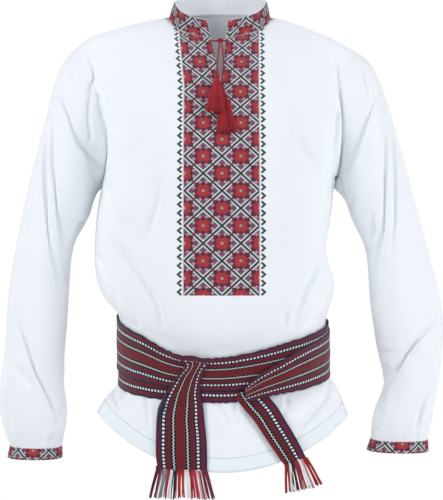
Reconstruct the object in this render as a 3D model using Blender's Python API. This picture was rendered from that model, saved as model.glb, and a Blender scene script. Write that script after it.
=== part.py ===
"""Embroidered folk shirt with a wound woven sash, worn on a general figure that isn't there.

+X is the right-hand side seen from the front, the front faces -Y and +Z is up. The origin is
at the base of the neck, on the shoulder line. Left and right in names are as seen from the
front. Sizes are in millimetres here, and the meshes are made in metres.

The garment is built as its cut: each panel is a grid of points, panels share the points of
their seams, and every wall is closed with the normals that the whole garment shares, so two
walls stay SEAM_GAP apart all along their seam.
"""

import math
from collections import namedtuple
from random import Random

import bmesh
import bpy
from mathutils import Matrix, Vector
from mathutils.bvhtree import BVHTree

MM = 0.001

# Driving sizes
CLOTH = 1.4  # wall of the body and sleeves
BAND = 1.1  # half the wall of the collar and cuffs
EMBROIDERY = 1.0  # stitched field over the front
WOVEN = 1.5  # wall of the sash
SEAM_GAP = 0.3
LAYER_GAP = 0.6  # between two turns of the sash
CORD_RADIUS = 1.4

NECK_LEFT, NECK_RIGHT = -88, 82  # where the shoulder seams meet the collar
NECK_FRONT, NECK_BACK = -52, 72
NECK_DROP, NECK_RISE = -41, 16
TIP_LEFT, TIP_RIGHT = Vector((-218, 0, -33)), Vector((188, 0, -38))
SHOULDER_SAG = 1.3
FIELD_HALF = 71  # half the width of the embroidered field
SLIT_RIGHT = 7.5  # the slit's right edge at the neckline; its left edge follows the neck
SLIT_ANGLE = 78.5  # how far round the neckline from the shoulder seam each edge stands
COLLAR_SLIT_ANGLE = 73.1  # the slit opens a little further at the collar's top
COLLAR_SLIT_RIGHT = 10.5
PLAN_FULLNESS = 2.2  # 2 is an ellipse seen from above
ARMHOLE_ROWS = 11
SLIT_ROWS = 4
SHOULDER_COLUMNS = 7

# How the cloth leaves the shoulder at the armhole, beside the neck and at the middle: with a
# roundness under 1 it comes forward sooner, and with a fall over 1 it goes down later
Drop = namedtuple("Drop", "roundness fall")
DROPS = {
    "front": (Drop(0.72, 1.3), Drop(0.78, 1.15), Drop(0.88, 1.0)),
    "back": (Drop(0.72, 1.3), Drop(0.6, 2.0), Drop(0.88, 1.0)),
}

# How far in from the armhole to the neck point the first columns stop, and the inner columns
FIELD_X = (90, FIELD_HALF, 53, 35, 18, 0)
NECK_ANGLES = (0, 27.6, 40.3, 53, 65.8, SLIT_ANGLE)
BACK_X = (90, 68, 45, 22, 0)
BACK_NECK_ANGLES = (0, 22.5, 45, 67.5, 90)
COLLAR_TOP_LEFT, COLLAR_TOP_RIGHT = -78, 75
COLLAR_TOP_FRONT, COLLAR_TOP_BACK = -47, 68
COLLAR_TOP_Z, COLLAR_TOP_DROP, COLLAR_TOP_RISE = 28, -42.6, 18

Armhole = namedtuple("Armhole", "share x_left z_left x_right z_right y_front y_back")
ARMHOLES = [
    Armhole(0.0, -218, -33, 188, -38, 0, 0),
    Armhole(0.06, -218, -40, 188, -45, -20, 18),
    Armhole(0.2, -214, -83, 190, -87, -33, 30),
    Armhole(0.4, -201, -134, 196, -136, -47, 45),
    Armhole(0.6, -191, -184, 200, -185, -48, 50),
    Armhole(0.8, -189, -236, 197, -235, -34, 38),
    Armhole(1.0, -198, -285, 184, -283, -3, -3),
]

# Rings of the body from the armpits to the hem: heights at the sides, front and back, then reach
Ring = namedtuple("Ring", "z_left z_right z_front z_back x_left x_right y_front y_back")
RINGS = [
    Ring(-285, -283, -294, -290, -198, 184, -146, 118),
    Ring(-310, -304, -318, -312, -203, 183, -149, 120),
    Ring(-335, -328, -344, -336, -206, 180, -150, 121),
    Ring(-362, -353, -372, -362, -208, 175, -151, 121),
    Ring(-391, -384, -402, -391, -209, 170, -152, 120),
    Ring(-418, -410, -436, -418, -208, 177, -153, 119),
    Ring(-442, -434, -455, -442, -203, 186, -154, 118),
    Ring(-461, -455, -492, -460, -194, 184, -154, 116),
    Ring(-474, -473, -522, -474, -182, 179, -147, 108),
    Ring(-483, -489, -540, -484, -172, 173, -133, 100),
    Ring(-492, -502, -552, -494, -168, 171, -126, 97),
    Ring(-545, -545, -590, -542, -168, 172, -125, 96),
    Ring(-602, -586, -626, -588, -168, 172, -126, 98),
    Ring(-612, -599, -641, -603, -176, 182, -131, 103),
    Ring(-622, -615, -661, -620, -188, 193, -138, 110),
    Ring(-634, -633, -687, -637, -196, 201, -144, 116),
    Ring(-646, -652, -727, -670, -203, 207, -150, 122),
]
BELT_RING = 11  # the ring at the middle of the sash
FIELD_ROWS = ARMHOLE_ROWS + 7  # the embroidered field ends at the seventh ring

# Sleeves: where each cross-line meets the outer and the inner outline, and how thick it is there
# and how far its middle bows away from the body
Cross = namedtuple("Cross", "x_out z_out x_in z_in y_mid half_depth bow", defaults=(0,))
SLEEVE_LEFT = [
    Cross(-247, -52, -204, -291, -3, 58),
    Cross(-266, -77, -206, -297, -4, 63),
    Cross(-278, -112, -209, -305, -5, 66),
    Cross(-286, -150, -212, -316, -6, 66),
    Cross(-297, -192, -217, -332, -8, 65),
    Cross(-306, -231, -227, -351, -10, 64),
    Cross(-315, -270, -237, -366, -12, 63),
    Cross(-324, -312, -243, -384, -14, 62),
    Cross(-333, -358, -246, -408, -16, 62),
    Cross(-342, -404, -247, -440, -18, 61),
    Cross(-349, -450, -249, -475, -20, 60),
    Cross(-352, -494, -251, -511, -22, 60),
    Cross(-353, -536, -254, -546, -23, 60),
    Cross(-358, -571, -256, -580, -24, 60),
    Cross(-362, -607, -254, -614, -24, 58),
    Cross(-364, -640, -249, -645, -24, 55),
    Cross(-359, -669, -253, -672, -24, 49),
    Cross(-351, -689, -258, -691, -24, 41),
    Cross(-345, -701, -260, -703, -24, 36),
]
SLEEVE_RIGHT = [
    Cross(212, -49, 188, -289, -3, 55, 17),
    Cross(232, -59, 193, -294, -4, 61, 15),
    Cross(248, -76, 198, -300, -5, 65, 12),
    Cross(261, -104, 203, -308, -6, 66, 8),
    Cross(272, -134, 208, -320, -8, 66, 4),
    Cross(281, -167, 212, -335, -10, 65),
    Cross(290, -200, 220, -351, -12, 64),
    Cross(300, -236, 230, -370, -14, 63),
    Cross(310, -276, 237, -391, -16, 62),
    Cross(321, -320, 239, -418, -18, 62),
    Cross(333, -364, 240, -448, -20, 61),
    Cross(346, -410, 242, -479, -22, 60),
    Cross(357, -455, 246, -510, -23, 60),
    Cross(364, -498, 251, -541, -24, 60),
    Cross(362, -535, 258, -570, -24, 60),
    Cross(358, -570, 265, -596, -24, 58),
    Cross(352, -610, 256, -622, -24, 56),
    Cross(347, -644, 246, -649, -24, 53),
    Cross(341, -672, 243, -676, -24, 46),
    Cross(337, -691, 243, -691, -24, 38),
]
CUFF_LEFT_END = Cross(-349, -721, -259, -722, -25, 37)
CUFF_RIGHT_END = Cross(338, -711, 236, -710, -25, 39)
SLEEVE_FULLNESS = 2.15
CAP_FULLNESS = 1.9  # at the armhole, where the sleeve takes the seam's own shape
CAP_CROSSES = 5
GATHER = 2.6  # depth of the gathers over a cuff

# The largest creases: three points of each in the front plane, its width, its depth, its side
Fold = namedtuple("Fold", "x0 z0 x1 z1 x2 z2 width depth side")
FOLDS = [
    Fold(-183, -270, -166, -314, -143, -353, 13, -6, -1),
    Fold(-187, -335, -173, -362, -158, -386, 11, 5, -1),
    Fold(-96, -279, -108, -329, -127, -368, 15, -4, -1),
    Fold(-165, -384, -124, -439, -92, -522, 13, -7, -1),
    Fold(-186, -405, -175, -431, -166, -466, 11, -6, -1),
    Fold(-151, -462, -143, -478, -135, -497, 10, -5, -1),
    Fold(-73, -500, -65, -522, -57, -544, 11, -4, -1),
    Fold(99, -72, 110, -95, 122, -119, 12, -4, -1),
    Fold(118, -166, 130, -215, 151, -262, 14, -6, -1),
    Fold(156, -400, 132, -455, 107, -524, 13, -7, -1),
    Fold(166, -440, 157, -470, 147, -500, 11, -6, -1),
    Fold(97, -480, 94, -502, 91, -528, 10, -5, -1),
    Fold(-116, -618, -116, -657, -116, -700, 14, 5, -1),
    Fold(101, -665, 138, -626, 177, -598, 12, 6, -1),
    Fold(-176, -604, -163, -627, -151, -652, 10, -5, -1),
    Fold(30, -600, 26, -650, 34, -722, 20, 4, -1),
    Fold(-265, -126, -244, -182, -200, -255, 13, -7, -1),
    Fold(-283, -150, -285, -260, -285, -384, 11, -5, -1),
    Fold(-260, -320, -257, -352, -252, -388, 9, -5, -1),
    Fold(-280, -384, -275, -416, -268, -452, 10, -6, -1),
    Fold(-260, -390, -256, -432, -251, -486, 9, -5, -1),
    Fold(-330, -495, -307, -565, -277, -640, 13, -8, -1),
    Fold(249, -130, 233, -166, 207, -247, 13, -7, -1),
    Fold(259, -110, 262, -182, 264, -255, 10, -5, -1),
    Fold(280, -215, 280, -300, 280, -384, 11, -5, -1),
    Fold(352, -490, 307, -545, 250, -634, 13, -8, -1),
    Fold(-215, -125, -218, -166, -220, -210, 9, -5, -1),
    Fold(183, -150, 181, -210, 174, -272, 10, -5, -1),
    # the hidden side
    Fold(-170, -262, -135, -320, -95, -372, 14, -6, 1),
    Fold(158, -258, 128, -318, 92, -366, 14, -6, 1),
    Fold(-30, -120, -20, -210, -28, -300, 22, -4, 1),
    Fold(48, -150, 42, -240, 50, -330, 20, -4, 1),
    Fold(-150, -392, -122, -430, -104, -478, 12, -6, 1),
    Fold(-52, -400, -46, -440, -48, -484, 12, -6, 1),
    Fold(22, -392, 18, -436, 20, -482, 12, -5, 1),
    Fold(88, -402, 82, -440, 80, -486, 12, -6, 1),
    Fold(140, -398, 128, -440, 118, -484, 12, -6, 1),
    Fold(-92, -606, -96, -636, -104, -668, 12, 5, 1),
    Fold(60, -604, 66, -634, 74, -668, 12, 5, 1),
    Fold(-268, -130, -250, -190, -212, -262, 13, -6, 1),
    Fold(252, -128, 236, -176, 212, -252, 13, -6, 1),
    Fold(-330, -420, -300, -480, -262, -545, 13, -7, 1),
    Fold(338, -400, 300, -462, 252, -520, 13, -7, 1),
    Fold(-336, -560, -304, -610, -270, -662, 11, -6, 1),
    Fold(346, -556, 304, -600, 262, -650, 11, -6, 1),
]

# Turns of the sash: places round the waist (0 is the front, -90 the left side), the heights of
# both edges there, and how far the turn's inside lies off the shirt
Turn = namedtuple("Turn", "angle z_top z_bottom lift")
UNDER_TURN = [
    Turn(-180, -508, -584, 1.2),
    Turn(-135, -511, -587, 1.2),
    Turn(-90, -524, -600, 1.2),
    Turn(-54, -537, -613, 1.2),
    Turn(-30, -545, -619, 1.2),
    Turn(0, -554, -622, 1.2),
    Turn(9, -554, -620, 1.2),
    Turn(25, -550, -606, 1.2),
    Turn(48, -536, -600, 1.2),
    Turn(90, -514, -572, 1.2),
    Turn(135, -510, -580, 1.2),
    Turn(180, -508, -584, 1.2),
]
MAIN_TURN = [
    Turn(-180, -492, -568, 3.3),
    Turn(-135, -490, -567, 3.3),
    Turn(-90, -490, -574, 3.3),
    Turn(-54, -511, -588, 3.3),
    Turn(-41, -523, -593, 3.3),
    Turn(-30, -540, -598, 3.3),
    Turn(-16, -549, -602, 3.3),
    Turn(0, -551, -603, 3.3),
    Turn(18, -541, -600, 3.3),
    Turn(33, -530, -596, 3.3),
    Turn(48, -520, -590, 3.3),
    Turn(65, -510, -582, 3.3),
    Turn(90, -500, -572, 3.3),
    Turn(120, -496, -564, 3.3),
    Turn(148, -496, -562, 3.3),
]
FAN_TURN = [
    Turn(9, -601, -620, 10.5),
    Turn(15, -586, -616, 10.8),
    Turn(21, -572, -613, 11.0),
    Turn(31, -557, -608, 10.0),
    Turn(42, -540, -605, 7.0),
    Turn(57, -527, -598, 5.4),
    Turn(76, -517, -589, 5.4),
    Turn(90, -514, -580, 5.4),
    Turn(120, -497, -573, 5.4),
    Turn(150, -493, -569, 5.4),
    Turn(180, -492, -568, 3.3),
]
TURN_BANDS = 3
FAN_PLEATS = (0, 1.1, 0, 0.9, 0)  # how far the fan's rows stand out where it is drawn together

# Hanging ends: where each row starts and stops in the front plane
Row = namedtuple("Row", "x_left z_left x_right z_right")
END_LEFT = [
    Row(-83, -541, -15, -551),
    Row(-63, -557, -16, -560),
    Row(-58, -566, -26, -570),
    Row(-69, -578, -31, -585),
    Row(-79, -593, -32, -598),
    Row(-87, -605, -32, -610),
    Row(-94, -616, -29, -622),
    Row(-100, -629, -27, -638),
    Row(-103, -643, -26, -652),
    Row(-104, -669, -23, -672),
    Row(-104, -700, -22, -697),
    Row(-101, -726, -22, -725),
]
END_RIGHT = [
    Row(21, -610, 56, -589),
    Row(25, -619, 63, -601),
    Row(36, -633, 76, -615),
    Row(49, -647, 88, -630),
    Row(60, -664, 100, -650),
    Row(72, -682, 110, -666),
    Row(85, -701, 121, -686),
    Row(98, -719, 132, -708),
]
END_COLUMNS = 5
FOLDED_END = 3.0  # the right end is folded lengthwise, so it is two walls thick

# Fringes and tassels: locks across and deep, the root's height, the locks' length, and how far
# the outer tips spread and every tip strays
Fringe = namedtuple("Fringe", "across deep root length tip_left tip_right sway")
FRINGE_LEFT = Fringe(14, 1, 2.5, 39, -13, 13, 0.8)
FRINGE_RIGHT = Fringe(10, 1, 2.5, 38, -1, 26, 0.7)
TASSEL_LEFT = Fringe(5, 3, 11, 50, -13, 4, 0.6)
TASSEL_RIGHT = Fringe(5, 3, 11, 66, -2, 16, 0.6)
LOCK_GAP = 0.35
TASSEL_HEAD = (8.5, 6.0)  # width and depth

# The tie: the points of each cord in the front plane, from its eyelet to its tassel, and how far
# each stands off the cloth; the left tassel lies on the right one
Stop = namedtuple("Stop", "x z stand")
CORD_LEFT = [
    Stop(-20, -49, 1.6),
    Stop(-19, -49, 2.6),
    Stop(-13, -49, 2.4),
    Stop(-5, -49, 2.0),
    Stop(-3.5, -56, 2.0),
    Stop(-5, -70, 3.5),
    Stop(-7, -88, 9.0),
    Stop(-7, -103, 14.6),
]
CORD_RIGHT = [
    Stop(12, -49, 1.6),
    Stop(11, -49, 2.6),
    Stop(7, -49, 2.4),
    Stop(1, -49, 2.0),
    Stop(0.5, -56, 2.0),
    Stop(2.5, -72, 2.0),
    Stop(3, -95, 3.0),
    Stop(0, -120, 7.0),
]
CORD_PLUMB = 5  # the last of each cord hangs straight down into its tassel
CORD_STEPS = 5
KNOT = (-1.5, -48.5)
KNOT_SIZE = (5.4, 2.6, 3.4)
CORD_REACH = 2.5
SLIT_REACH = 22  # far enough to find cloth from the middle of the open slit

WHITE = (0.86, 0.88, 0.92)
RED = (0.42, 0.04, 0.06)


# ---------------------------------------------------------------- curves and numbers


def mix(a, b, share):
    """The value, or the point, that lies `share` of the way from a to b."""
    return a + (b - a) * share


def smooth(keys, values, at):
    """The value at `at` on a smooth curve through (keys, values), whose keys rise."""
    if at <= keys[0]:
        return values[0]
    if at >= keys[-1]:
        return values[-1]
    i = max(n for n in range(len(keys) - 1) if keys[n] <= at)

    def slope(n):
        low, high = max(n - 1, 0), min(n + 1, len(keys) - 1)
        return (values[high] - values[low]) / (keys[high] - keys[low])

    span = keys[i + 1] - keys[i]
    t = (at - keys[i]) / span
    start, end = values[i], values[i + 1]
    bend = start * (2 * t**3 - 3 * t**2 + 1) + end * (3 * t**2 - 2 * t**3)
    return bend + span * (slope(i) * (t**3 - 2 * t**2 + t) + slope(i + 1) * (t**3 - t**2))


def column_of(table, name):
    """One named column of a table."""
    return [getattr(row, name) for row in table]


def armhole_share(row):
    """How far down the armhole a row lies: rows are closer at its two ends."""
    share = row / ARMHOLE_ROWS
    return mix(share, (1 - math.cos(math.pi * share)) / 2, 0.5)


def armhole_point(side, face, row):
    """A point of an armhole, for side "left" or "right" and face "front" or "back"."""
    share = armhole_share(row)
    shares = column_of(ARMHOLES, "share")
    x = smooth(shares, column_of(ARMHOLES, "x_" + side), share)
    y = smooth(shares, column_of(ARMHOLES, "y_" + face), share)
    z = smooth(shares, column_of(ARMHOLES, "z_" + side), share)
    return Vector((x, y, z))


# ---------------------------------------------------------------- the body


def ring_point(ring, face, x):
    """The point of a body ring at x, on its front or back."""
    side = "left" if x < 0 else "right"
    reach = getattr(ring, "x_" + side)
    y_side = ARMHOLES[-1].y_front
    y_far = getattr(ring, "y_" + face)
    across = min(abs(x / reach), 1)
    y = mix(y_side, y_far, (1 - across**PLAN_FULLNESS) ** (1 / PLAN_FULLNESS))
    z = mix(getattr(ring, "z_" + side), getattr(ring, "z_" + face), 1 - across**2)
    return Vector((x, y, z))


def column_x(ring, side, inner, column):
    """Where a column crosses a ring; inner holds the fixed places near the middle."""
    reach = getattr(ring, "x_" + side)
    sign = -1 if side == "left" else 1
    if column >= SHOULDER_COLUMNS:
        return sign * inner[column - SHOULDER_COLUMNS]
    inner_angle = math.asin(inner[0] / abs(reach))
    angle = mix(math.pi / 2, inner_angle, column / SHOULDER_COLUMNS)
    return reach * math.sin(angle)


def slit_share(angle, last):
    """How far from the shoulder seam to the slit's edge an angle of the neckline lies."""
    return (1 - math.cos(angle)) / (1 - math.cos(math.radians(last)))


def neck_point(side, face, angle):
    """A point of the neckline, at an angle from the shoulder seam to the middle."""
    reach = NECK_LEFT if side == "left" else NECK_RIGHT
    x = reach * math.cos(angle)
    if face == "front":
        if side == "right":  # the slit's right edge lies nearer the middle
            x = mix(NECK_RIGHT, SLIT_RIGHT, slit_share(angle, SLIT_ANGLE))
        return Vector((x, NECK_FRONT * math.sin(angle), NECK_DROP * math.sin(angle)))
    return Vector((x, NECK_BACK * math.sin(angle), NECK_RISE * math.sin(angle)))


def top_point(side, face, angles, column):
    """A point of a panel's top edge: the shoulder seam, then the neckline."""
    if column > SHOULDER_COLUMNS:
        return neck_point(side, face, math.radians(angles[column - SHOULDER_COLUMNS]))
    tip = TIP_LEFT if side == "left" else TIP_RIGHT
    neck = NECK_LEFT if side == "left" else NECK_RIGHT
    x = mix(tip.x, neck, column / SHOULDER_COLUMNS)
    fall = abs((x - neck) / (tip.x - neck)) ** SHOULDER_SAG
    return Vector((x, 0, tip.z * fall))


def hung_point(top, low, share, drop):
    """A point of the cloth between its top edge and the first ring."""
    point = mix(top, low, share)
    point.y = mix(top.y, low.y, math.sin(share * math.pi / 2) ** drop.roundness)
    point.z = mix(top.z, low.z, share**drop.fall)
    return point


def drop_of(face, column, columns):
    """How the cloth of one column leaves the shoulder."""
    edge, neck, middle = DROPS[face]
    if column <= SHOULDER_COLUMNS:
        start, end, share = edge, neck, column / SHOULDER_COLUMNS
    else:
        start, end = neck, middle
        share = (column - SHOULDER_COLUMNS) / (columns - 1 - SHOULDER_COLUMNS)
    return Drop(mix(start.roundness, end.roundness, share), mix(start.fall, end.fall, share))


def half_panel(side, face):
    """Rows of points for half of the front or back, from its side edge to the middle."""
    inner = FIELD_X if face == "front" else BACK_X
    angles = NECK_ANGLES if face == "front" else BACK_NECK_ANGLES
    columns = SHOULDER_COLUMNS + len(inner)
    edge_top = top_point(side, face, angles, 0)
    edge_low = ring_point(RINGS[0], face, getattr(RINGS[0], "x_" + side))
    rows = []
    for row in range(ARMHOLE_ROWS):
        share = armhole_share(row)
        plain_edge = hung_point(edge_top, edge_low, share, drop_of(face, 0, columns))
        shift = armhole_point(side, face, row) - plain_edge
        opening = max(0.0, 1 - share / armhole_share(SLIT_ROWS))
        line = []
        for column in range(columns):
            top = top_point(side, face, angles, column)
            low = ring_point(RINGS[0], face, column_x(RINGS[0], side, inner, column))
            point = hung_point(top, low, share, drop_of(face, column, columns))
            if column > SHOULDER_COLUMNS and face == "front":
                point.x = mix(low.x, top.x, opening)
            pull = max(0.0, 1 - column / SHOULDER_COLUMNS) ** 2
            line.append(point + shift * pull)
        rows.append(line)
    for ring in RINGS:
        rows.append([ring_point(ring, face, column_x(ring, side, inner, c)) for c in range(columns)])
    return rows


# ---------------------------------------------------------------- sleeves, cuffs and collar


def cross_ring(cross, fullness=SLEEVE_FULLNESS):
    """The ring of points round one cross-line of a sleeve, matched to the armhole's rows."""
    outer = Vector((cross.x_out, cross.y_mid, cross.z_out))
    inner = Vector((cross.x_in, cross.y_mid, cross.z_in))
    ring = []
    for face in (-1, 1):
        for row in range(ARMHOLE_ROWS):
            share = armhole_share(row if face < 0 else ARMHOLE_ROWS - row)
            across = abs(2 * share - 1) ** fullness
            depth = cross.half_depth * (1 - across) ** (1 / fullness)
            bow = math.copysign(cross.bow * math.sin(math.pi * share), cross.x_out)
            ring.append(mix(outer, inner, share) + Vector((bow, face * depth, 0)))
    return ring + [ring[0].copy()]


def armhole_ring(side):
    """The armhole as a ring: down the front, up the back."""
    front = [armhole_point(side, "front", row) for row in range(ARMHOLE_ROWS)]
    back = [armhole_point(side, "back", ARMHOLE_ROWS - row) for row in range(ARMHOLE_ROWS)]
    return front + back + [front[0].copy()]


def gather(ring, depth):
    """Pull every second point of a ring in towards its middle, as gathered cloth lies."""
    middle = sum(ring[:-1], Vector()) / (len(ring) - 1)
    for number, point in enumerate(ring):
        away = (point - middle).normalized()
        point += away * (depth if number % 2 else -depth)
    return ring


def sleeve_rows(side, crosses):
    """The rings of a sleeve from the armhole to the cuff."""
    rows = [armhole_ring(side)]
    for number, cross in enumerate(crosses):
        ring = cross_ring(cross, mix(CAP_FULLNESS, SLEEVE_FULLNESS, min(number / CAP_CROSSES, 1)))
        to_cuff = len(crosses) - 1 - number
        if 0 < to_cuff < 4:
            gather(ring, GATHER * (1, 0.7, 0.4)[to_cuff - 1])
        rows.append(ring)
    return rows


def cuff_rows(crosses, end):
    """Three rings of a cuff, whose first is the sleeve's last."""
    start = cross_ring(crosses[-1])
    stop = cross_ring(end)
    return [[mix(a, b, share) for a, b in zip(start, stop)] for share in (0, 0.5, 1)]


def collar_top(side, face, angle):
    """A point of the collar's top edge."""
    reach = COLLAR_TOP_LEFT if side == "left" else COLLAR_TOP_RIGHT
    depth, rise = COLLAR_TOP_BACK, COLLAR_TOP_RISE
    if face == "front":
        angle *= COLLAR_SLIT_ANGLE / SLIT_ANGLE
        depth, rise = COLLAR_TOP_FRONT, COLLAR_TOP_DROP
    x = reach * math.cos(angle)
    if face == "front" and side == "right":
        x = mix(COLLAR_TOP_RIGHT, COLLAR_SLIT_RIGHT, slit_share(angle, COLLAR_SLIT_ANGLE))
    return Vector((x, depth * math.sin(angle), COLLAR_TOP_Z + rise * math.sin(angle)))


def collar_rows():
    """Three rows from the collar's top to its seam, from the slit's left edge round to its right."""
    places = [("left", "front", math.radians(a)) for a in reversed(NECK_ANGLES)]
    places += [("left", "back", math.radians(a)) for a in BACK_NECK_ANGLES[1:]]
    places += [("right", "back", math.radians(a)) for a in reversed(BACK_NECK_ANGLES[:-1])]
    places += [("right", "front", math.radians(a)) for a in NECK_ANGLES[1:]]
    low = [neck_point(*place) for place in places]
    high = [collar_top(*place) for place in places]
    middle = [mix(a, b, 0.5) * 1.012 for a, b in zip(low, high)]
    return [list(reversed(row)) for row in (high, middle, low)]


# ---------------------------------------------------------------- cloth walls


def key(point):
    """The name of a place, so that panels find the points that they share."""
    return tuple(round(c, 2) for c in point)


def faces_of(rows):
    """The quads of a grid as lists of points, whose outside is seen with rows going down."""
    for upper, lower in zip(rows, rows[1:]):
        for a, b, c, d in zip(upper, lower, lower[1:], upper[1:]):
            yield [a, b, c, d]


def shared_normals(panels):
    """One outward direction for each place: at a seam it halves the angle of the panels there."""
    sums = {}
    for grids in panels:
        own = {}
        for rows in grids:
            for face in faces_of(rows):
                normal = (face[2] - face[0]).cross(face[3] - face[1])
                for point in face:
                    own[key(point)] = own.get(key(point), Vector()) + normal
        for place, normal in own.items():
            sums[place] = sums.get(place, Vector()) + normal.normalized()
    return {place: total.normalized() for place, total in sums.items()}


def fold_offset(point, normal):
    """How far the creases move a point of the cloth out, or in."""
    offset = 0.0
    for fold in FOLDS:
        facing = min(max((normal.y * fold.side + 0.1) / 0.5, 0), 1)
        if facing == 0:
            continue
        line = [Vector((fold.x0, fold.z0)), Vector((fold.x1, fold.z1)), Vector((fold.x2, fold.z2))]
        place = Vector((point.x, point.z))
        nearest, along = 1e9, 0.0
        for number, (a, b) in enumerate(zip(line, line[1:])):
            share = min(max((place - a).dot(b - a) / (b - a).length_squared, 0), 1)
            away = (place - mix(a, b, share)).length
            if away < nearest:
                nearest, along = away, (number + share) / 2
        strength = 0.35 + 0.65 * math.sin(math.pi * along)
        offset += fold.depth * strength * facing * math.exp(-((nearest / fold.width) ** 2))
    return offset


def folded(grids, normals):
    """Grids whose points have moved by the creases, with the seams still shared."""

    def moved(point):
        normal = normals[key(point)]
        return point + normal * fold_offset(point, normal)

    return [[[moved(point) for point in row] for row in rows] for rows in grids]


def make_object(name, mesh, colour, roughness):
    """Put a mesh in the garment's collection with a material of its own."""
    material = bpy.data.materials.new(name + "_finish")
    material.use_nodes = True
    shader = material.node_tree.nodes["Principled BSDF"]
    shader.inputs["Base Color"].default_value = (*colour, 1)
    shader.inputs["Roughness"].default_value = roughness
    shader.inputs["Metallic"].default_value = 0
    mesh.materials.append(material)
    made = bpy.data.objects.new(name, mesh)
    garment.objects.link(made)
    return made


def boundary_insets(bm):
    """How far each boundary point moves in along the cloth, so that walls part at their seams."""
    moves = {}
    for vert in bm.verts:
        edges = [e for e in vert.link_edges if e.is_boundary]
        if len(edges) != 2:
            continue
        inward = []
        for edge in edges:
            along = (edge.other_vert(vert).co - vert.co).normalized()
            towards = edge.link_faces[0].calc_center_median() - vert.co
            inward.append((towards - along * towards.dot(along)).normalized())
        corner = max(1 + inward[0].dot(inward[1]), 0.6)
        moves[vert] = (inward[0] + inward[1]) / corner * SEAM_GAP / 2
    return moves


def cloth_wall(name, grids, normals, outside, inside, colour):
    """A closed wall over grids that share points, from `outside` to `inside` along the normals.

    Every quad is split the same way, and a rim by the places of its ends, so that walls that
    lie on each other, or meet at a seam, stay parallel.
    """
    bm = bmesh.new()
    places = {}
    directions = {}

    def vert(point):
        if key(point) not in places:
            made = bm.verts.new(point)
            places[key(point)] = made
            directions[made] = normals[key(point)]
        return places[key(point)]

    for rows in grids:
        for face in faces_of(rows):
            a, b, c, d = (vert(p) for p in face)
            for corners in ((a, b, c), (a, c, d)):
                if len(set(corners)) == 3:
                    bm.faces.new(corners)
    bm.normal_update()
    moves = boundary_insets(bm)
    outer_faces = list(bm.faces)
    rims = [e for e in bm.edges if e.is_boundary]
    rim_ends = []
    for edge in rims:
        loop = edge.link_loops[0]
        rim_ends.append((loop.vert, loop.link_loop_next.vert))
    inner = {}
    for outer in list(directions):
        inner[outer] = bm.verts.new(outer.co + moves.get(outer, Vector()) + directions[outer] * inside)
    for face in outer_faces:
        bm.faces.new([inner[v] for v in reversed(face.verts)])
    for start, end in rim_ends:
        if key(start.co) < key(end.co):
            bm.faces.new([end, start, inner[end]])
            bm.faces.new([start, inner[start], inner[end]])
        else:
            bm.faces.new([end, start, inner[start]])
            bm.faces.new([end, inner[start], inner[end]])
    for outer in list(directions):
        outer.co += moves.get(outer, Vector()) + directions[outer] * outside
    bmesh.ops.scale(bm, vec=(MM, MM, MM), verts=bm.verts)
    mesh = bpy.data.meshes.new(name)
    bm.to_mesh(mesh)
    bm.free()
    mesh.shade_smooth()
    mesh.set_sharp_from_angle(angle=math.radians(50))
    return make_object(name, mesh, colour, 0.85)


# ---------------------------------------------------------------- the sash


def waist_columns(panels):
    """The body's columns of ring points, all round from the left side and back to it."""
    columns = []
    for grid in panels["front"] + [panels["back"][1], panels["back"][0]]:
        rings = grid[ARMHOLE_ROWS:]
        columns += [[row[c] for row in rings] for c in range(len(rings[0]) - 1)]
    return columns


def waist_angle(column):
    """Where a column stands round the waist, in degrees: 0 at the front, -90 at the left side."""
    point = column[BELT_RING]
    ring = RINGS[BELT_RING]
    reach = ring.x_left if point.x < 0 else ring.x_right
    depth = ring.y_front if point.y < 0 else ring.y_back
    return math.degrees(math.atan2(point.x / abs(reach), -point.y / abs(depth)))


def at_height(column, z):
    """The point of a column at a height."""
    for upper, lower in zip(column, column[1:]):
        if lower.z <= z <= upper.z:
            return mix(upper, lower, (z - upper.z) / (lower.z - upper.z))
    return column[-1]


def turn_grid(columns, normals, turns, pleats=None):
    """Rows of points for one stretch of the sash, lifted off the shirt's waist."""
    angles = column_of(turns, "angle")
    ordered = sorted(columns, key=waist_angle)
    back = ordered[0]
    placed = [(waist_angle(column), column) for column in ordered] + [(180, back)]
    placed = [(a, c) for a, c in placed if angles[0] - 1 <= a <= angles[-1] + 1]
    bands = len(pleats) - 1 if pleats else TURN_BANDS
    rows = [[] for _ in range(bands + 1)]
    for angle, column in placed:
        seat = column[BELT_RING]
        out = normals[key(seat)].copy()
        out.z = 0
        out.normalize()
        z_top = smooth(angles, column_of(turns, "z_top"), angle)
        z_bottom = smooth(angles, column_of(turns, "z_bottom"), angle)
        lift = smooth(angles, column_of(turns, "lift"), angle)
        for band, row in enumerate(rows):
            z = mix(z_top, z_bottom, band / bands)
            stand = max(0, (at_height(column, z) - seat).dot(out))
            if pleats:
                stand += pleats[band] * max(0, 1 - angle / 70)
            row.append(Vector((seat.x, seat.y, z)) + out * (lift + stand))
    return rows


def surfaces(*names):
    """Search trees of finished objects, in metres."""
    return [BVHTree.FromPolygons(*polygons(bpy.data.objects[name].data)) for name in names]


def polygons(mesh):
    """A mesh's points and faces, as a search tree takes them."""
    return [v.co.copy() for v in mesh.vertices], [tuple(p.vertices) for p in mesh.polygons]


def drape(trees, x, z, reach, reach_x=None):
    """How far forward the nearest surface lies within `reach` of a place in the front plane."""
    front = None
    wide = reach_x or reach
    for dx in (-wide, -wide / 2, 0, wide / 2, wide):
        for dz in (-reach, -reach / 2, 0, reach / 2, reach):
            start = Vector(((x + dx) * MM, -1, (z + dz) * MM))
            for tree in trees:
                hit = tree.ray_cast(start, Vector((0, 1, 0)))[0]
                if hit is not None and (front is None or hit.y / MM < front):
                    front = hit.y / MM
    return front


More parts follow.
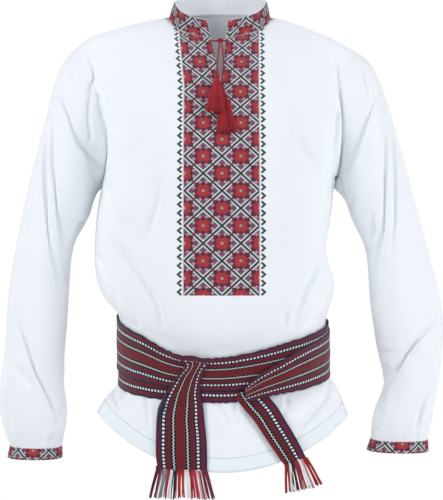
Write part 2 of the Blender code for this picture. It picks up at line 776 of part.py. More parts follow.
def hanging_grid(rows, trees, reach):
    """A hanging end's points, laid LAYER_GAP in front of what lies behind it."""
    grid = []
    for row in rows:
        line = []
        for column in range(END_COLUMNS + 1):
            share = column / END_COLUMNS
            x = mix(row.x_left, row.x_right, share)
            z = mix(row.z_left, row.z_right, share)
            y = drape(trees, x, z, reach)
            if y is None:  # past the hem: hang straight down
                y = grid[-1][column].y + LAYER_GAP
            line.append(Vector((x, y - LAYER_GAP, z)))
        grid.append(line)
    for line, above in zip(grid[1:], grid):
        for point, upper in zip(line, above):
            point.y = min(point.y, upper.y + 2)
    return grid


def build_sash(panels, normals):
    """The three turns and the two hanging ends; returns the last row of each end."""
    columns = waist_columns(panels)
    turns = {
        "belt_under_turn": (UNDER_TURN, None),
        "belt_main_turn": (MAIN_TURN, None),
        "belt_fan_turn": (FAN_TURN, FAN_PLEATS),
    }
    for name, (turn, pleats) in turns.items():
        grid = turn_grid(columns, normals, turn, pleats)
        cloth_wall(name, [grid], shared_normals([[grid]]), WOVEN, 0, RED)
    below = surfaces("front", "belt_under_turn", "belt_main_turn")
    last_rows = []
    for name, rows, thick in (
        ("belt_end_left", END_LEFT, WOVEN),
        ("belt_end_right", END_RIGHT, FOLDED_END),
    ):
        grid = hanging_grid(rows, below, 7)
        cloth_wall(name, [grid], shared_normals([[grid]]), thick, 0, RED)
        last_rows.append(grid[-1])
    return last_rows


# ---------------------------------------------------------------- fringes, tassels and the tie


def along(line, share):
    """The point of an open line of points at a share of its count."""
    place = min(max(share, 0), 1) * (len(line) - 1)
    start = min(int(place), len(line) - 2)
    return mix(line[start], line[start + 1], place - start)


def locks(name, root_line, fringe, depth, trees=()):
    """A narrow backing under a line of points, with locks drawn out of its lower faces.

    With trees given, the locks follow the slope of what lies behind them.
    """
    bm = bmesh.new()
    bmesh.ops.create_cube(bm, size=1, matrix=Matrix.Translation((0.5, 0.5, -0.5)))
    for axis, cuts in ((0, fringe.across - 1), (1, fringe.deep - 1)):
        edges = [e for e in bm.edges if abs((e.verts[0].co - e.verts[1].co)[axis]) > 0.9]
        if cuts:
            bmesh.ops.subdivide_edges(bm, edges=edges, cuts=cuts, use_grid_fill=True)
    bottom = [f for f in bm.faces if f.calc_center_median().z < -0.99]
    width = (root_line[-1] - root_line[0]).length
    bmesh.ops.scale(bm, vec=(width, depth, fringe.root), verts=bm.verts)
    bmesh.ops.inset_individual(bm, faces=bottom, thickness=LOCK_GAP)
    random = Random(name)
    tips = bmesh.ops.extrude_discrete_faces(bm, faces=bottom)["faces"]
    lengths = [fringe.length * random.uniform(0.9, 1.04) for _ in tips]
    for length, face in zip(lengths, tips):
        for vert in face.verts:
            vert.co.z = -fringe.root - length / 2
    tips = bmesh.ops.extrude_discrete_faces(bm, faces=tips)["faces"]
    swayed = {}
    for length, face in zip(lengths, tips):
        stray = (random.uniform(-1, 1) * fringe.sway, random.uniform(-1, 1) * fringe.sway)
        for vert in face.verts:
            vert.co.z = -fringe.root - length
            swayed[vert] = stray
    for vert in bm.verts:
        across = vert.co.x / width
        fall = max(0, -vert.co.z - fringe.root) / fringe.length
        stray = swayed.get(vert, (0, 0))
        base = along(root_line, across)
        spread = mix(fringe.tip_left, fringe.tip_right, across) * fall**0.9
        place = base + Vector((spread + stray[0], -vert.co.y - stray[1], vert.co.z))
        if trees:
            place.y += drape(trees, place.x, place.z, 3) - drape(trees, base.x, base.z, 3)
        vert.co = place
    bmesh.ops.recalc_face_normals(bm, faces=bm.faces)
    if bm.calc_volume(signed=True) < 0:
        bmesh.ops.reverse_faces(bm, faces=bm.faces)
    bmesh.ops.scale(bm, vec=(MM, MM, MM), verts=bm.verts)
    mesh = bpy.data.meshes.new(name)
    bm.to_mesh(mesh)
    bm.free()
    return make_object(name, mesh, RED, 0.8)


def build_fringes(last_rows):
    """A fringe under the last row of each hanging end."""
    for name, row, fringe, depth in (
        ("belt_fringe_left", last_rows[0], FRINGE_LEFT, WOVEN + 0.8),
        ("belt_fringe_right", last_rows[1], FRINGE_RIGHT, FOLDED_END),
    ):
        line = [point + Vector((0, 0, -SEAM_GAP)) for point in row]
        locks(name, line, fringe, depth)


def smooth_line(points, steps):
    """A smooth line of points through the given ones."""
    places = list(range(len(points)))
    line = []
    for step in range(steps * (len(points) - 1) + 1):
        line.append(Vector([smooth(places, [p[a] for p in points], step / steps) for a in range(3)]))
    return line


def build_cord(name, route, trees):
    """A thin cord along a route over the field, as a curve with filled ends; returns its points."""
    points = []
    for stop in route:
        reach = CORD_REACH if points else 0
        y = drape(trees, stop.x, stop.z, reach)
        if y is None:  # over the open slit
            y = drape(trees, stop.x, stop.z, reach, SLIT_REACH)
        points.append(Vector((stop.x, y - stop.stand, stop.z)))
    points.append(points[-1] - Vector((0, 0, CORD_PLUMB)))
    line = smooth_line(points, CORD_STEPS)
    curve = bpy.data.curves.new(name, "CURVE")
    curve.dimensions = "3D"
    curve.bevel_depth = CORD_RADIUS * MM
    curve.bevel_resolution = 2
    curve.use_fill_caps = True
    spline = curve.splines.new("POLY")
    spline.points.add(len(line) - 1)
    for point, place in zip(spline.points, line):
        point.co = (*(place * MM), 1)
    make_object(name, curve, RED, 0.7)
    return line


def build_tie():
    """The cord's two lengths, their knot and the two tassels."""
    field = surfaces("front_embroidery")
    half_width, half_depth = TASSEL_HEAD[0] / 2, TASSEL_HEAD[1] / 2
    front = math.inf
    for side, route, fringe in (("left", CORD_LEFT, TASSEL_LEFT), ("right", CORD_RIGHT, TASSEL_RIGHT)):
        cord = build_cord("neck_cord_" + side, route, field)
        under_knot = [p.y for p in cord if max(abs(p.x - KNOT[0]), abs(p.z - KNOT[1])) < KNOT_SIZE[2]]
        front = min(front, *under_knot)
        top = cord[-1] + Vector((0, half_depth, -LAYER_GAP))
        line = [top + Vector((shift, 0, 0)) for shift in (-half_width, 0, half_width)]
        locks("neck_tassel_" + side, line, fringe, TASSEL_HEAD[1], field)
    bpy.ops.mesh.primitive_uv_sphere_add(segments=12, ring_count=8, radius=MM, location=(0, 0, 0))
    knot = bpy.context.object
    place = Vector((KNOT[0], front - CORD_RADIUS - SEAM_GAP - KNOT_SIZE[1], KNOT[1]))
    knot.data.transform(Matrix.Diagonal((*KNOT_SIZE, 1)))
    knot.data.transform(Matrix.Translation(place * MM))
    mesh = knot.data.copy()
    bpy.data.objects.remove(knot)
    mesh.shade_smooth()
    make_object("neck_knot", mesh, RED, 0.7)


# ---------------------------------------------------------------- main


def clear_scene():
    """Start from nothing."""
    for old in list(bpy.data.objects):
        bpy.data.objects.remove(old, do_unlink=True)


def mirrored_order(rows):
    """The same grid with its columns the other way round, so that its outside stays out."""
    return [list(reversed(row)) for row in rows]


def sewn(panels):
    """The panels' grids with the front and back as one, so that neither outweighs a sleeve."""
    others = [grids for name, grids in panels.items() if name not in ("front", "back")]
    return [panels["front"] + panels["back"]] + others


def build_shirt():
    """The sewn panels; returns the grids that the sash and the field lie on."""
    panels = {
        "front": [half_panel("left", "front"), mirrored_order(half_panel("right", "front"))],
        "back": [mirrored_order(half_panel("left", "back")), half_panel("right", "back")],
        "sleeve_left": [sleeve_rows("left", SLEEVE_LEFT)],
        "sleeve_right": [mirrored_order(sleeve_rows("right", SLEEVE_RIGHT))],
        "cuff_left": [cuff_rows(SLEEVE_LEFT, CUFF_LEFT_END)],
        "cuff_right": [mirrored_order(cuff_rows(SLEEVE_RIGHT, CUFF_RIGHT_END))],
        "collar": [collar_rows()],
    }
    normals = shared_normals(sewn(panels))
    panels = {name: folded(grids, normals) for name, grids in panels.items()}
    normals = shared_normals(sewn(panels))
    for name, grids in panels.items():
        band = name.startswith(("cuff", "collar"))
        outside, inside = (BAND, -BAND) if band else (0, -CLOTH)
        cloth_wall(name, grids, normals, outside, inside, RED if band else WHITE)
    left, right = ([row for row in grid[:FIELD_ROWS]] for grid in panels["front"])
    field = [
        [row[SHOULDER_COLUMNS + 1 :] for row in left],
        [row[: -SHOULDER_COLUMNS - 1] for row in right],
    ]
    cloth_wall("front_embroidery", field, normals, SEAM_GAP + EMBROIDERY, SEAM_GAP, RED)
    return panels, normals


clear_scene()
garment = bpy.data.collections.new("embroidered_shirt")
bpy.context.scene.collection.children.link(garment)
shirt_panels, shirt_normals = build_shirt()
end_rows = build_sash(shirt_panels, shirt_normals)
build_fringes(end_rows)
build_tie()
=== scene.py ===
import logging
import math
from dataclasses import dataclass, fields
from enum import Enum
from random import Random
from typing import Callable, Sequence, TypeVar

import bmesh
import bpy
import numpy as np
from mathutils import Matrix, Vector
from mathutils.bvhtree import BVHTree
from mathutils.kdtree import KDTree


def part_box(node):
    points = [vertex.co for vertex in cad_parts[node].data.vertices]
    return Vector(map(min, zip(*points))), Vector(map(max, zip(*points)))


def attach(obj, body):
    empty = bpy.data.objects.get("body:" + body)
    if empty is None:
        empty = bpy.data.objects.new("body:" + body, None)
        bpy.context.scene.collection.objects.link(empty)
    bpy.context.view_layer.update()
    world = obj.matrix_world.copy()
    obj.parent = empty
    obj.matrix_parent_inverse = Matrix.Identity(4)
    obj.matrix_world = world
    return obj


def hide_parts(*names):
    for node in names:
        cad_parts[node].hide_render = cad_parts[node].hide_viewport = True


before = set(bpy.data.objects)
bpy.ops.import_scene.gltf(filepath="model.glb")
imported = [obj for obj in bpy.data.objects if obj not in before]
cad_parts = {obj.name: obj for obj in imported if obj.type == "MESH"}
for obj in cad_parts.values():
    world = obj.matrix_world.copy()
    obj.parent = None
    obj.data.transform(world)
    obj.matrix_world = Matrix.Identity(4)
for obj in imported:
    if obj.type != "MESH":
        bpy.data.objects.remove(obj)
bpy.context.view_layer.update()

"""Embroidered folk shirt with a wound woven sash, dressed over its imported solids.

+X is the right-hand side seen from the front, the front faces -Y and +Z is up. Lengths are in
metres, and tables of places are in millimetres, times MM. Left and right in names are as seen
from the front.
"""

MM = 0.001
BODY = "root"
RIM = 2.6 * MM  # no edge of a packed wall's outside is as short as this, and its rims' are
EDGE_STEP = 1.5 * MM  # how far apart the points are at which a sheet's edge is read

log = logging.getLogger("shirt")
Colour = tuple[float, float, float, float]
Place = Callable[[float, float], Vector]
Kind = TypeVar("Kind", float, Vector)
Value = bpy.types.NodeSocket | float | Colour
DARK: Colour = (0.0, 0.0, 0.0, 1.0)
LIGHT: Colour = (1.0, 1.0, 1.0, 1.0)


def srgb(code: str, strength: float = 1.0) -> Colour:
    """Turn a hex colour into a linear one.

    Args:
        code: Six hex digits.
        strength: What its light is multiplied by.

    Returns:
        Red, green, blue and alpha.
    """
    values = [int(code[n : n + 2], 16) / 255 for n in (0, 2, 4)]
    linear = [v / 12.92 if v <= 0.04045 else ((v + 0.055) / 1.055) ** 2.4 for v in values]
    return (*[min(v * strength, 1.0) for v in linear], 1.0)


class Slot(Enum):
    """The kinds of material that the garment is made of."""

    LINEN = "linen"
    EMBROIDERY = "embroidery"
    SASH = "woven_sash"
    TIE = "tie_thread"


class Thread(Enum):
    """The dyed threads of the stitching, the sash and the tie."""

    RED = srgb("CC2E48")
    ORANGE = srgb("CB4634")
    OUTLINE = srgb("5A2C3C")
    MAROON = srgb("8C2C54")
    PURPLE = srgb("9A5080")
    GREEN = srgb("12423E")
    WHITE = srgb("FDFEFF")
    DOT = srgb("FBE9EF")
    EDGE = srgb("F3DCE3")
    CRIMSON = srgb("B0162A")
    SCARLET = srgb("B82418")
    WINE = srgb("6A1022")
    BLACK = srgb("17110F")
    NAVY = srgb("1D1A38")
    PINK = srgb("E3A7AE")
    GREY = srgb("8E8790")


# ------------------------------------------------------------------ numbers and curves


def mix(start: Kind, end: Kind, share: float) -> Kind:
    """The value, or the point, that lies `share` of the way from start to end."""
    return start + (end - start) * share


def smooth(keys: Sequence[float], values: Sequence[float], at: float) -> float:
    """Read a smooth curve through keys and values.

    Args:
        keys: Rising places.
        values: The curve's value at each of them.
        at: Where it is read.

    Returns:
        The value there, which is level beyond both ends.
    """
    if at <= keys[0]:
        return values[0]
    if at >= keys[-1]:
        return values[-1]
    left = max(n for n in range(len(keys) - 1) if keys[n] <= at)

    def slope(number: int) -> float:
        """The curve's slope at one key."""
        low, high = max(number - 1, 0), min(number + 1, len(keys) - 1)
        return (values[high] - values[low]) / (keys[high] - keys[low])

    span = keys[left + 1] - keys[left]
    t = (at - keys[left]) / span
    bend = values[left] * (2 * t**3 - 3 * t**2 + 1) + values[left + 1] * (3 * t**2 - 2 * t**3)
    return bend + span * (slope(left) * (t**3 - 2 * t**2 + t) + slope(left + 1) * (t**3 - t**2))


def smooth_line(points: Sequence[Vector], steps: int) -> list[Vector]:
    """Draw a smooth line through points.

    Args:
        points: The points that it passes.
        steps: How many pieces lie between two of them.

    Returns:
        The line's points.
    """
    keys = list(range(len(points)))
    return [
        Vector([smooth(keys, [p[axis] for p in points], step / steps) for axis in range(3)])
        for step in range(steps * (len(points) - 1) + 1)
    ]


def evenly(points: Sequence[Vector], count: int, closed: bool = False) -> list[Vector]:
    """Space a line's points evenly.

    Args:
        points: The line.
        count: How many points it gets.
        closed: Whether the line goes on from its last point to its first.

    Returns:
        The new points. A closed line's last point is its first again.
    """
    line = np.array([*points, points[0]] if closed else points, float)
    run = np.concatenate(([0], np.cumsum(np.linalg.norm(np.diff(line, axis=0), axis=1))))
    wanted = np.linspace(0, run[-1], count)
    columns = [np.interp(wanted, run, line[:, axis]) for axis in range(3)]
    return [Vector(values) for values in zip(*columns)]


def length_of(points: Sequence[Vector]) -> float:
    """How long a line of points is."""
    return sum((b - a).length for a, b in zip(points, points[1:]))


def tree_of(points: Sequence[Vector]) -> KDTree:
    """Put points where the nearest one to a place is quickly found.

    Args:
        points: The points, whose places in the list become their numbers.

    Returns:
        The search tree.
    """
    tree = KDTree(len(points))
    for number, point in enumerate(points):
        tree.insert(point, number)
    tree.balance()
    return tree


# ------------------------------------------------------------------ modelling


def only(obj: bpy.types.Object) -> None:
    """Make one object the selected and active one.

    Args:
        obj: The object.
    """
    bpy.ops.object.select_all(action="DESELECT")
    obj.select_set(True)
    bpy.context.view_layer.objects.active = obj


def apply_modifiers(obj: bpy.types.Object) -> None:
    """Apply all of an object's modifiers in their order."""
    only(obj)
    for modifier in list(obj.modifiers):
        bpy.ops.object.modifier_apply(modifier=modifier.name)


def join(parts: Sequence[bpy.types.Object], name: str) -> bpy.types.Object:
    """Join objects into the first one.

    Args:
        parts: The objects.
        name: What the joined object is called.

    Returns:
        The joined object.
    """
    only(parts[0])
    for part in parts:
        part.select_set(True)
    if len(parts) > 1:
        bpy.ops.object.join()
    made = bpy.context.view_layer.objects.active
    made.name = made.data.name = name
    return made


def work_on_all(obj: bpy.types.Object, *steps: Callable[[], object]) -> None:
    """Take operators to a whole mesh in edit mode.

    Args:
        obj: The mesh object.
        steps: The operators, in their order.
    """
    only(obj)
    bpy.ops.object.mode_set(mode="EDIT")
    bpy.ops.mesh.select_all(action="SELECT")
    for step in steps:
        step()
    bpy.ops.object.mode_set(mode="OBJECT")


def merge(obj: bpy.types.Object, distance: float) -> None:
    """Merge the points of a mesh that lie within a distance in millimetres."""
    work_on_all(obj, lambda: bpy.ops.mesh.remove_doubles(threshold=distance * MM))


def choose_faces(obj: bpy.types.Object, test: Callable[[bmesh.types.BMFace], bool]) -> int:
    """Select faces in edit mode.

    Args:
        obj: The object that is being edited.
        test: Says of each face whether it is wanted.

    Returns:
        How many were selected.
    """
    bpy.ops.mesh.select_all(action="DESELECT")
    mesh = bmesh.from_edit_mesh(obj.data)
    chosen = [face for face in mesh.faces if test(face)]
    for face in chosen:
        face.select_set(True)
    bmesh.update_edit_mesh(obj.data)
    return len(chosen)


def islands(mesh: bmesh.types.BMesh) -> list[list[bmesh.types.BMFace]]:
    """Sort the faces of a mesh into the groups that hang together.

    Args:
        mesh: The mesh.

    Returns:
        The faces of each group.
    """
    left, groups = set(mesh.faces), []
    while left:
        stack, group = [left.pop()], []
        while stack:
            face = stack.pop()
            group.append(face)
            for edge in face.edges:
                for other in edge.link_faces:
                    if other in left:
                        left.remove(other)
                        stack.append(other)
        groups.append(group)
    return groups


def outwardness(faces: Sequence[bmesh.types.BMFace], heart: Vector | None) -> float:
    """Measure how far faces look outwards.

    Args:
        faces: The faces.
        heart: The point that they should look away from. Without it, they should look away
            from the upright line in the middle of the body.

    Returns:
        A sum that is under zero if they look inwards.
    """
    total = 0.0
    for face in faces:
        middle = face.calc_center_median()
        away = middle - heart if heart else Vector((middle.x, middle.y, 0))
        total += face.calc_area() * face.normal.dot(away)
    return total


def outer_sheet(node: str, levels: int, rim: float = RIM) -> bpy.types.Object:
    """Take the outside of a packed cloth wall and smooth it.

    Args:
        node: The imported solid's name.
        levels: How often its faces are halved.
        rim: Faces with a shorter edge than this are the wall's rims, and are dropped.

    Returns:
        A new open sheet that faces outwards.
    """
    low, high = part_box(node)
    tube = node.startswith(("sleeve", "cuff"))
    heart = (low + high) / 2 if tube else None
    made = bpy.data.objects.new(node + "_sheet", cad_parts[node].data.copy())
    bpy.context.scene.collection.objects.link(made)
    made.data.materials.clear()
    only(made)
    if made.data.has_custom_normals:
        bpy.ops.mesh.customdata_custom_splitnormals_clear()
    bpy.ops.object.mode_set(mode="EDIT")
    bpy.ops.mesh.select_mode(type="FACE")
    bpy.ops.mesh.select_all(action="SELECT")
    bpy.ops.mesh.remove_doubles(threshold=0.02 * MM)
    choose_faces(made, lambda face: min(edge.calc_length() for edge in face.edges) < rim)
    bpy.ops.mesh.delete(type="FACE")
    mesh = bmesh.from_edit_mesh(made.data)
    mesh.faces.index_update()
    outside = max(islands(mesh), key=lambda faces: outwardness(faces, heart))
    kept = {face.index for face in outside}
    choose_faces(made, lambda face: face.index not in kept)
    bpy.ops.mesh.delete(type="FACE")
    bpy.ops.mesh.select_all(action="SELECT")
    bpy.ops.mesh.tris_convert_to_quads(face_threshold=math.pi, shape_threshold=math.pi)
    bpy.ops.object.mode_set(mode="OBJECT")
    finer = made.modifiers.new("finer", "SUBSURF")
    finer.levels = finer.render_levels = levels
    finer.boundary_smooth = "PRESERVE_CORNERS"
    apply_modifiers(made)
    made.data.shade_smooth()
    return made


def border_chains(obj: bpy.types.Object, corner: float = 50.0) -> list[list[Vector]]:
    """Follow the open edges of a sheet.

    Args:
        obj: The sheet.
        corner: A turn of more degrees than this ends a chain.

    Returns:
        Each chain's points. One without corners comes back to its start.
    """
    mesh = bmesh.new()
    mesh.from_mesh(obj.data)
    mesh.edges.index_update()
    left = {edge.index: edge for edge in mesh.edges if edge.is_boundary}
    chains = []
    while left:
        edge = left.pop(min(left))
        ring = [edge.verts[0], edge.verts[1]]
        while True:
            following = [e for e in ring[-1].link_edges if e.index in left]
            if not following:
                break
            left.pop(following[0].index)
            ring.append(following[0].other_vert(ring[-1]))
        points = [vert.co.copy() for vert in ring[:-1]]
        turns = []
        for number, point in enumerate(points):
            before = point - points[number - 1]
            after = points[(number + 1) % len(points)] - point
            if math.degrees(before.angle(after, 0)) > corner:
                turns.append(number)
        if not turns:
            chains.append([*points, points[0]])
            continue
        turned = points[turns[0] :] + points[: turns[0]] + [points[turns[0]]]
        marks = [number - turns[0] for number in turns] + [len(points)]
        chains += [turned[a : b + 1] for a, b in zip(marks, marks[1:])]
    mesh.free()
    return chains


def read_edge(chain: Sequence[Vector]) -> list[Vector]:
    """Space an edge's points about EDGE_STEP apart."""
    return evenly(chain, max(int(length_of(chain) / EDGE_STEP), 8))


def lowest_of(chains: Sequence[Sequence[Vector]]) -> Sequence[Vector]:
    """The edge that lies lowest on the whole."""
    return min(chains, key=lambda chain: sum(point.z for point in chain) / len(chain))


def low_and_high(sheet: bpy.types.Object) -> tuple[list[Vector], list[Vector]]:
    """Find the lower and the upper edge of a band or a turn.

    Args:
        sheet: The sheet, whose two longest edges they are.

    Returns:
        Their points.
    """
    chains = sorted(border_chains(sheet), key=length_of)[-2:]
    low = lowest_of(chains)
    return low, chains[0] if low is chains[1] else chains[1]


class Surface:
    """A finished sheet as something that other pieces are laid on."""

    def __init__(self, obj: bpy.types.Object) -> None:
        """Read the sheet's faces once.

        Args:
            obj: The sheet.
        """
        points = [vert.co.copy() for vert in obj.data.vertices]
        faces = [tuple(face.vertices) for face in obj.data.polygons]
        self.tree = BVHTree.FromPolygons(points, faces)

    def snapped(self, point: Vector, lift: float = 0.0) -> Vector:
        """The nearest place on the sheet, moved out by lift."""
        place, normal, _, _ = self.tree.find_nearest(point)
        return place + normal * lift

    def seen_from_front(self, x: float, z: float, lift: float = 0.0) -> Vector | None:
        """The place that is seen at x and z from the front, moved out by lift, if there is one."""
        place, normal, _, _ = self.tree.ray_cast(Vector((x, -1, z)), Vector((0, 1, 0)))
        return None if place is None else place + normal * lift

    def foremost(self, x: float, z: float, reach: float, reach_x: float = 0.0) -> float | None:
        """Find how far forward the sheet comes near a place.

        Args:
            x: The place, from the left to the right.
            z: The place's height.
            reach: How far around it is looked.
            reach_x: How far sideways, where that is another length.

        Returns:
            The foremost Y, or None if there is no cloth.
        """
        wide, found = reach_x or reach, []
        for dx in (-wide, -wide / 2, 0, wide / 2, wide):
            for dz in (-reach, -reach / 2, 0, reach / 2, reach):
                place = self.seen_from_front(x + dx, z + dz)
                if place is not None:
                    found.append(place.y)
        return min(found) if found else None


def laid_grid(name: str, columns: int, rows: int, place: Place) -> bpy.types.Object:
    """Lay a grid of cloth, whose UV map goes from 0 to 1 both ways.

    Args:
        name: The new object's name.
        columns: How many faces lie side by side.
        rows: How many lie above each other.
        place: Gives the point for two shares from 0 to 1, along the columns and the rows.

    Returns:
        The new object.
    """
    bpy.ops.object.select_all(action="DESELECT")
    bpy.ops.mesh.primitive_grid_add(x_subdivisions=columns, y_subdivisions=rows, size=1)
    made = bpy.context.object
    made.name = made.data.name = name
    for vert in made.data.vertices:
        vert.co = place(vert.co.x + 0.5, vert.co.y + 0.5)
    return made


def turn_out(obj: bpy.types.Object, heart: Vector | None = None) -> None:
    """Turn all faces of an open sheet over if they look inwards.

    Args:
        obj: The sheet.
        heart: The point that it goes round, if not the middle of the body.
    """
    mesh = bmesh.new()
    mesh.from_mesh(obj.data)
    mesh.normal_update()
    inwards = outwardness(mesh.faces, heart) < 0
    mesh.free()
    if inwards:
        work_on_all(obj, bpy.ops.mesh.flip_normals)


def give_thickness(obj: bpy.types.Object, thickness: float) -> None:
    """Make a closed wall of a sheet, inwards from it.

    Args:
        obj: The sheet.
        thickness: How thick the wall gets, in metres.
    """
    wall = obj.modifiers.new("wall", "SOLIDIFY")
    wall.thickness = thickness
    wall.offset = -1
    apply_modifiers(obj)
    obj.data.shade_smooth()


def write_uv(obj: bpy.types.Object, place: Callable[[Vector], tuple[float, float]]) -> None:
    """Write a UV map from each point's place.

    Args:
        obj: The sheet.
        place: Gives U and V for a point.
    """
    layer = obj.data.uv_layers.active or obj.data.uv_layers.new(name="cloth")
    spots = [place(vert.co) for vert in obj.data.vertices]
    flat = [value for loop in obj.data.loops for value in spots[loop.vertex_index]]
    layer.data.foreach_set("uv", flat)


def stretch_uv(obj: bpy.types.Object, length: float) -> None:
    """Make a 0 to 1 UV map run in metres along U.

    Args:
        obj: The sheet.
        length: How long it is.
    """
    layer = obj.data.uv_layers.active
    values = np.empty(len(layer.data) * 2, np.float32)
    layer.data.foreach_get("uv", values)
    values[::2] *= length
    layer.data.foreach_set("uv", values)


def by_length(point_at: Callable[[float], Vector], steps: int = 200) -> Callable[[float], float]:
    """Read a line by its length, whatever its own function goes by.

    Args:
        point_at: The line, for shares from 0 to 1.
        steps: In how many pieces it is measured.

    Returns:
        Turns a share of the length into the share that point_at takes.
    """
    shares = np.linspace(0, 1, steps + 1)
    points = [point_at(float(share)) for share in shares]
    run = np.concatenate(([0], np.cumsum([(b - a).length for a, b in zip(points, points[1:])])))
    return lambda share: float(np.interp(share * run[-1], run, shares))


def seam_allowance(
    obj: bpy.types.Object, reach: float, sink: float, skip: Callable[[Vector], bool]
) -> None:
    """Carry a sheet's open edges on under its neighbours.

    Args:
        obj: The sheet, which is changed.
        reach: How far the cloth goes on.
        sink: How far below its own level it goes.
        skip: Says of a place whether the edge there stays as it is.
    """
    mesh = bmesh.new()
    mesh.from_mesh(obj.data)
    mesh.normal_update()
    middles = {e: (e.verts[0].co + e.verts[1].co) / 2 for e in mesh.edges if e.is_boundary}
    edges = [edge for edge, middle in middles.items() if not skip(middle)]
    away: dict[bmesh.types.BMVert, Vector] = {}
    for edge in edges:
        run = (edge.verts[1].co - edge.verts[0].co).normalized()
        out = middles[edge] - edge.link_faces[0].calc_center_median()
        out -= run * out.dot(run)
        for vert in edge.verts:
            away[vert] = away.get(vert, Vector()) + out.normalized()
    keys = list(away)
    moves = [away[v].normalized() * reach - v.normal * sink for v in keys]
    tree = tree_of([vert.co for vert in keys])
    made = bmesh.ops.extrude_edge_only(mesh, edges=edges)["geom"]
    for vert in [item for item in made if isinstance(item, bmesh.types.BMVert)]:
        vert.co += moves[tree.find(vert.co)[1]]
    mesh.to_mesh(obj.data)
    mesh.free()


def tubes(
    name: str,
    paths: Sequence[Sequence[Vector]],
    radii: Sequence[float],
    taper: float = 1.0,
    sides: int = 6,
) -> bpy.types.Object:
    """Model round threads along lines.

    Args:
        name: The new object's name.
        paths: The middle line of each thread.
        radii: The radius of each thread.
        taper: How thick its last point is, as a share of its first.
        sides: How many faces go round it.

    Returns:
        One mesh with closed ends.
    """
    curve = bpy.data.curves.new(name, "CURVE")
    curve.dimensions = "3D"
    curve.bevel_depth = 1
    curve.bevel_resolution = (sides - 4) // 2
    curve.use_fill_caps = True
    for path, radius in zip(paths, radii):
        spline = curve.splines.new("POLY")
        spline.points.add(len(path) - 1)
        for number, (point, spot) in enumerate(zip(spline.points, path)):
            point.co = (*spot, 1)
            point.radius = radius * mix(1, taper, number / (len(path) - 1))
    made = bpy.data.objects.new(name, curve)
    bpy.context.scene.collection.objects.link(made)
    only(made)
    bpy.ops.object.convert(target="MESH")
    made = bpy.context.object
    merge(made, 0.005)
    work_on_all(made, lambda: bpy.ops.mesh.normals_make_consistent(inside=False))
    made.data.shade_smooth()
    return made


def twisted(line: Sequence[Vector], plies: int, off: float, pitch: float) -> list[list[Vector]]:
    """The middle lines of plies twisted round a line.

    Args:
        line: The line that they go round.
        plies: How many there are.
        off: How far each runs from the line.
        pitch: The length of one turn.

    Returns:
        A list of points for each ply.
    """
    made: list[list[Vector]] = [[] for _ in range(plies)]
    run = 0.0
    for number, point in enumerate(line):
        before, after = line[max(number - 1, 0)], line[min(number + 1, len(line) - 1)]
        run += (point - before).length
        along = (after - before).normalized()
        side = along.cross(Vector((0, 1, 0))).normalized()
        front = side.cross(along)
        for ply, path in enumerate(made):
            turn = 2 * math.pi * (run / pitch + ply / plies)
            path.append(point + (side * math.cos(turn) + front * math.sin(turn)) * off)
    return made


def dye(obj: bpy.types.Object, colour_of: Callable[[bpy.types.MeshPolygon], Colour]) -> None:
    """Write each face's colour into the attribute that the thread finishes read.

    Args:
        obj: The mesh object.
        colour_of: Gives the colour of a face.
    """
    values: list[float] = []
    for face in obj.data.polygons:
        values += list(colour_of(face)) * face.loop_total
    layer = obj.data.color_attributes.new("thread", "FLOAT_COLOR", "CORNER")
    layer.data.foreach_set("color", values)


def dye_threads(
    obj: bpy.types.Object, starts: Sequence[Vector], colours: Sequence[Colour]
) -> None:
    """Give each separate thread the colour of the start that is nearest to it.

    Args:
        obj: One mesh of many threads.
        starts: Where each thread begins.
        colours: The colour of each thread.
    """
    tree = tree_of(starts)
    mesh = bmesh.new()
    mesh.from_mesh(obj.data)
    owner = {}
    for group in islands(mesh):
        spots = [vert.co for face in group for vert in face.verts]
        number = min((tree.find(spot) for spot in spots), key=lambda found: found[2])[1]
        for face in group:
            owner[face.index] = number
    mesh.free()
    dye(obj, lambda face: colours[owner[face.index]])


def shaded(colour: Colour, strength: float) -> Colour:
    """A colour made lighter or darker."""
    return (*[min(channel * strength, 1.0) for channel in colour[:3]], 1.0)


def finished(
    obj: bpy.types.Object, material: bpy.types.Material, slot: Slot, *nodes: str
) -> bpy.types.Object:
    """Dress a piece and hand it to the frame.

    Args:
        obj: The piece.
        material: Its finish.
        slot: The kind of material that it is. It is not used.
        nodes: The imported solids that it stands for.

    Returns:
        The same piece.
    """
    obj.data.materials.clear()
    obj.data.materials.append(material)
    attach(obj, BODY)
    if nodes:
        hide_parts(*nodes)
    log.info("%s: %d faces", obj.name, len(obj.data.polygons))
    return obj


# ------------------------------------------------------------------ finishes


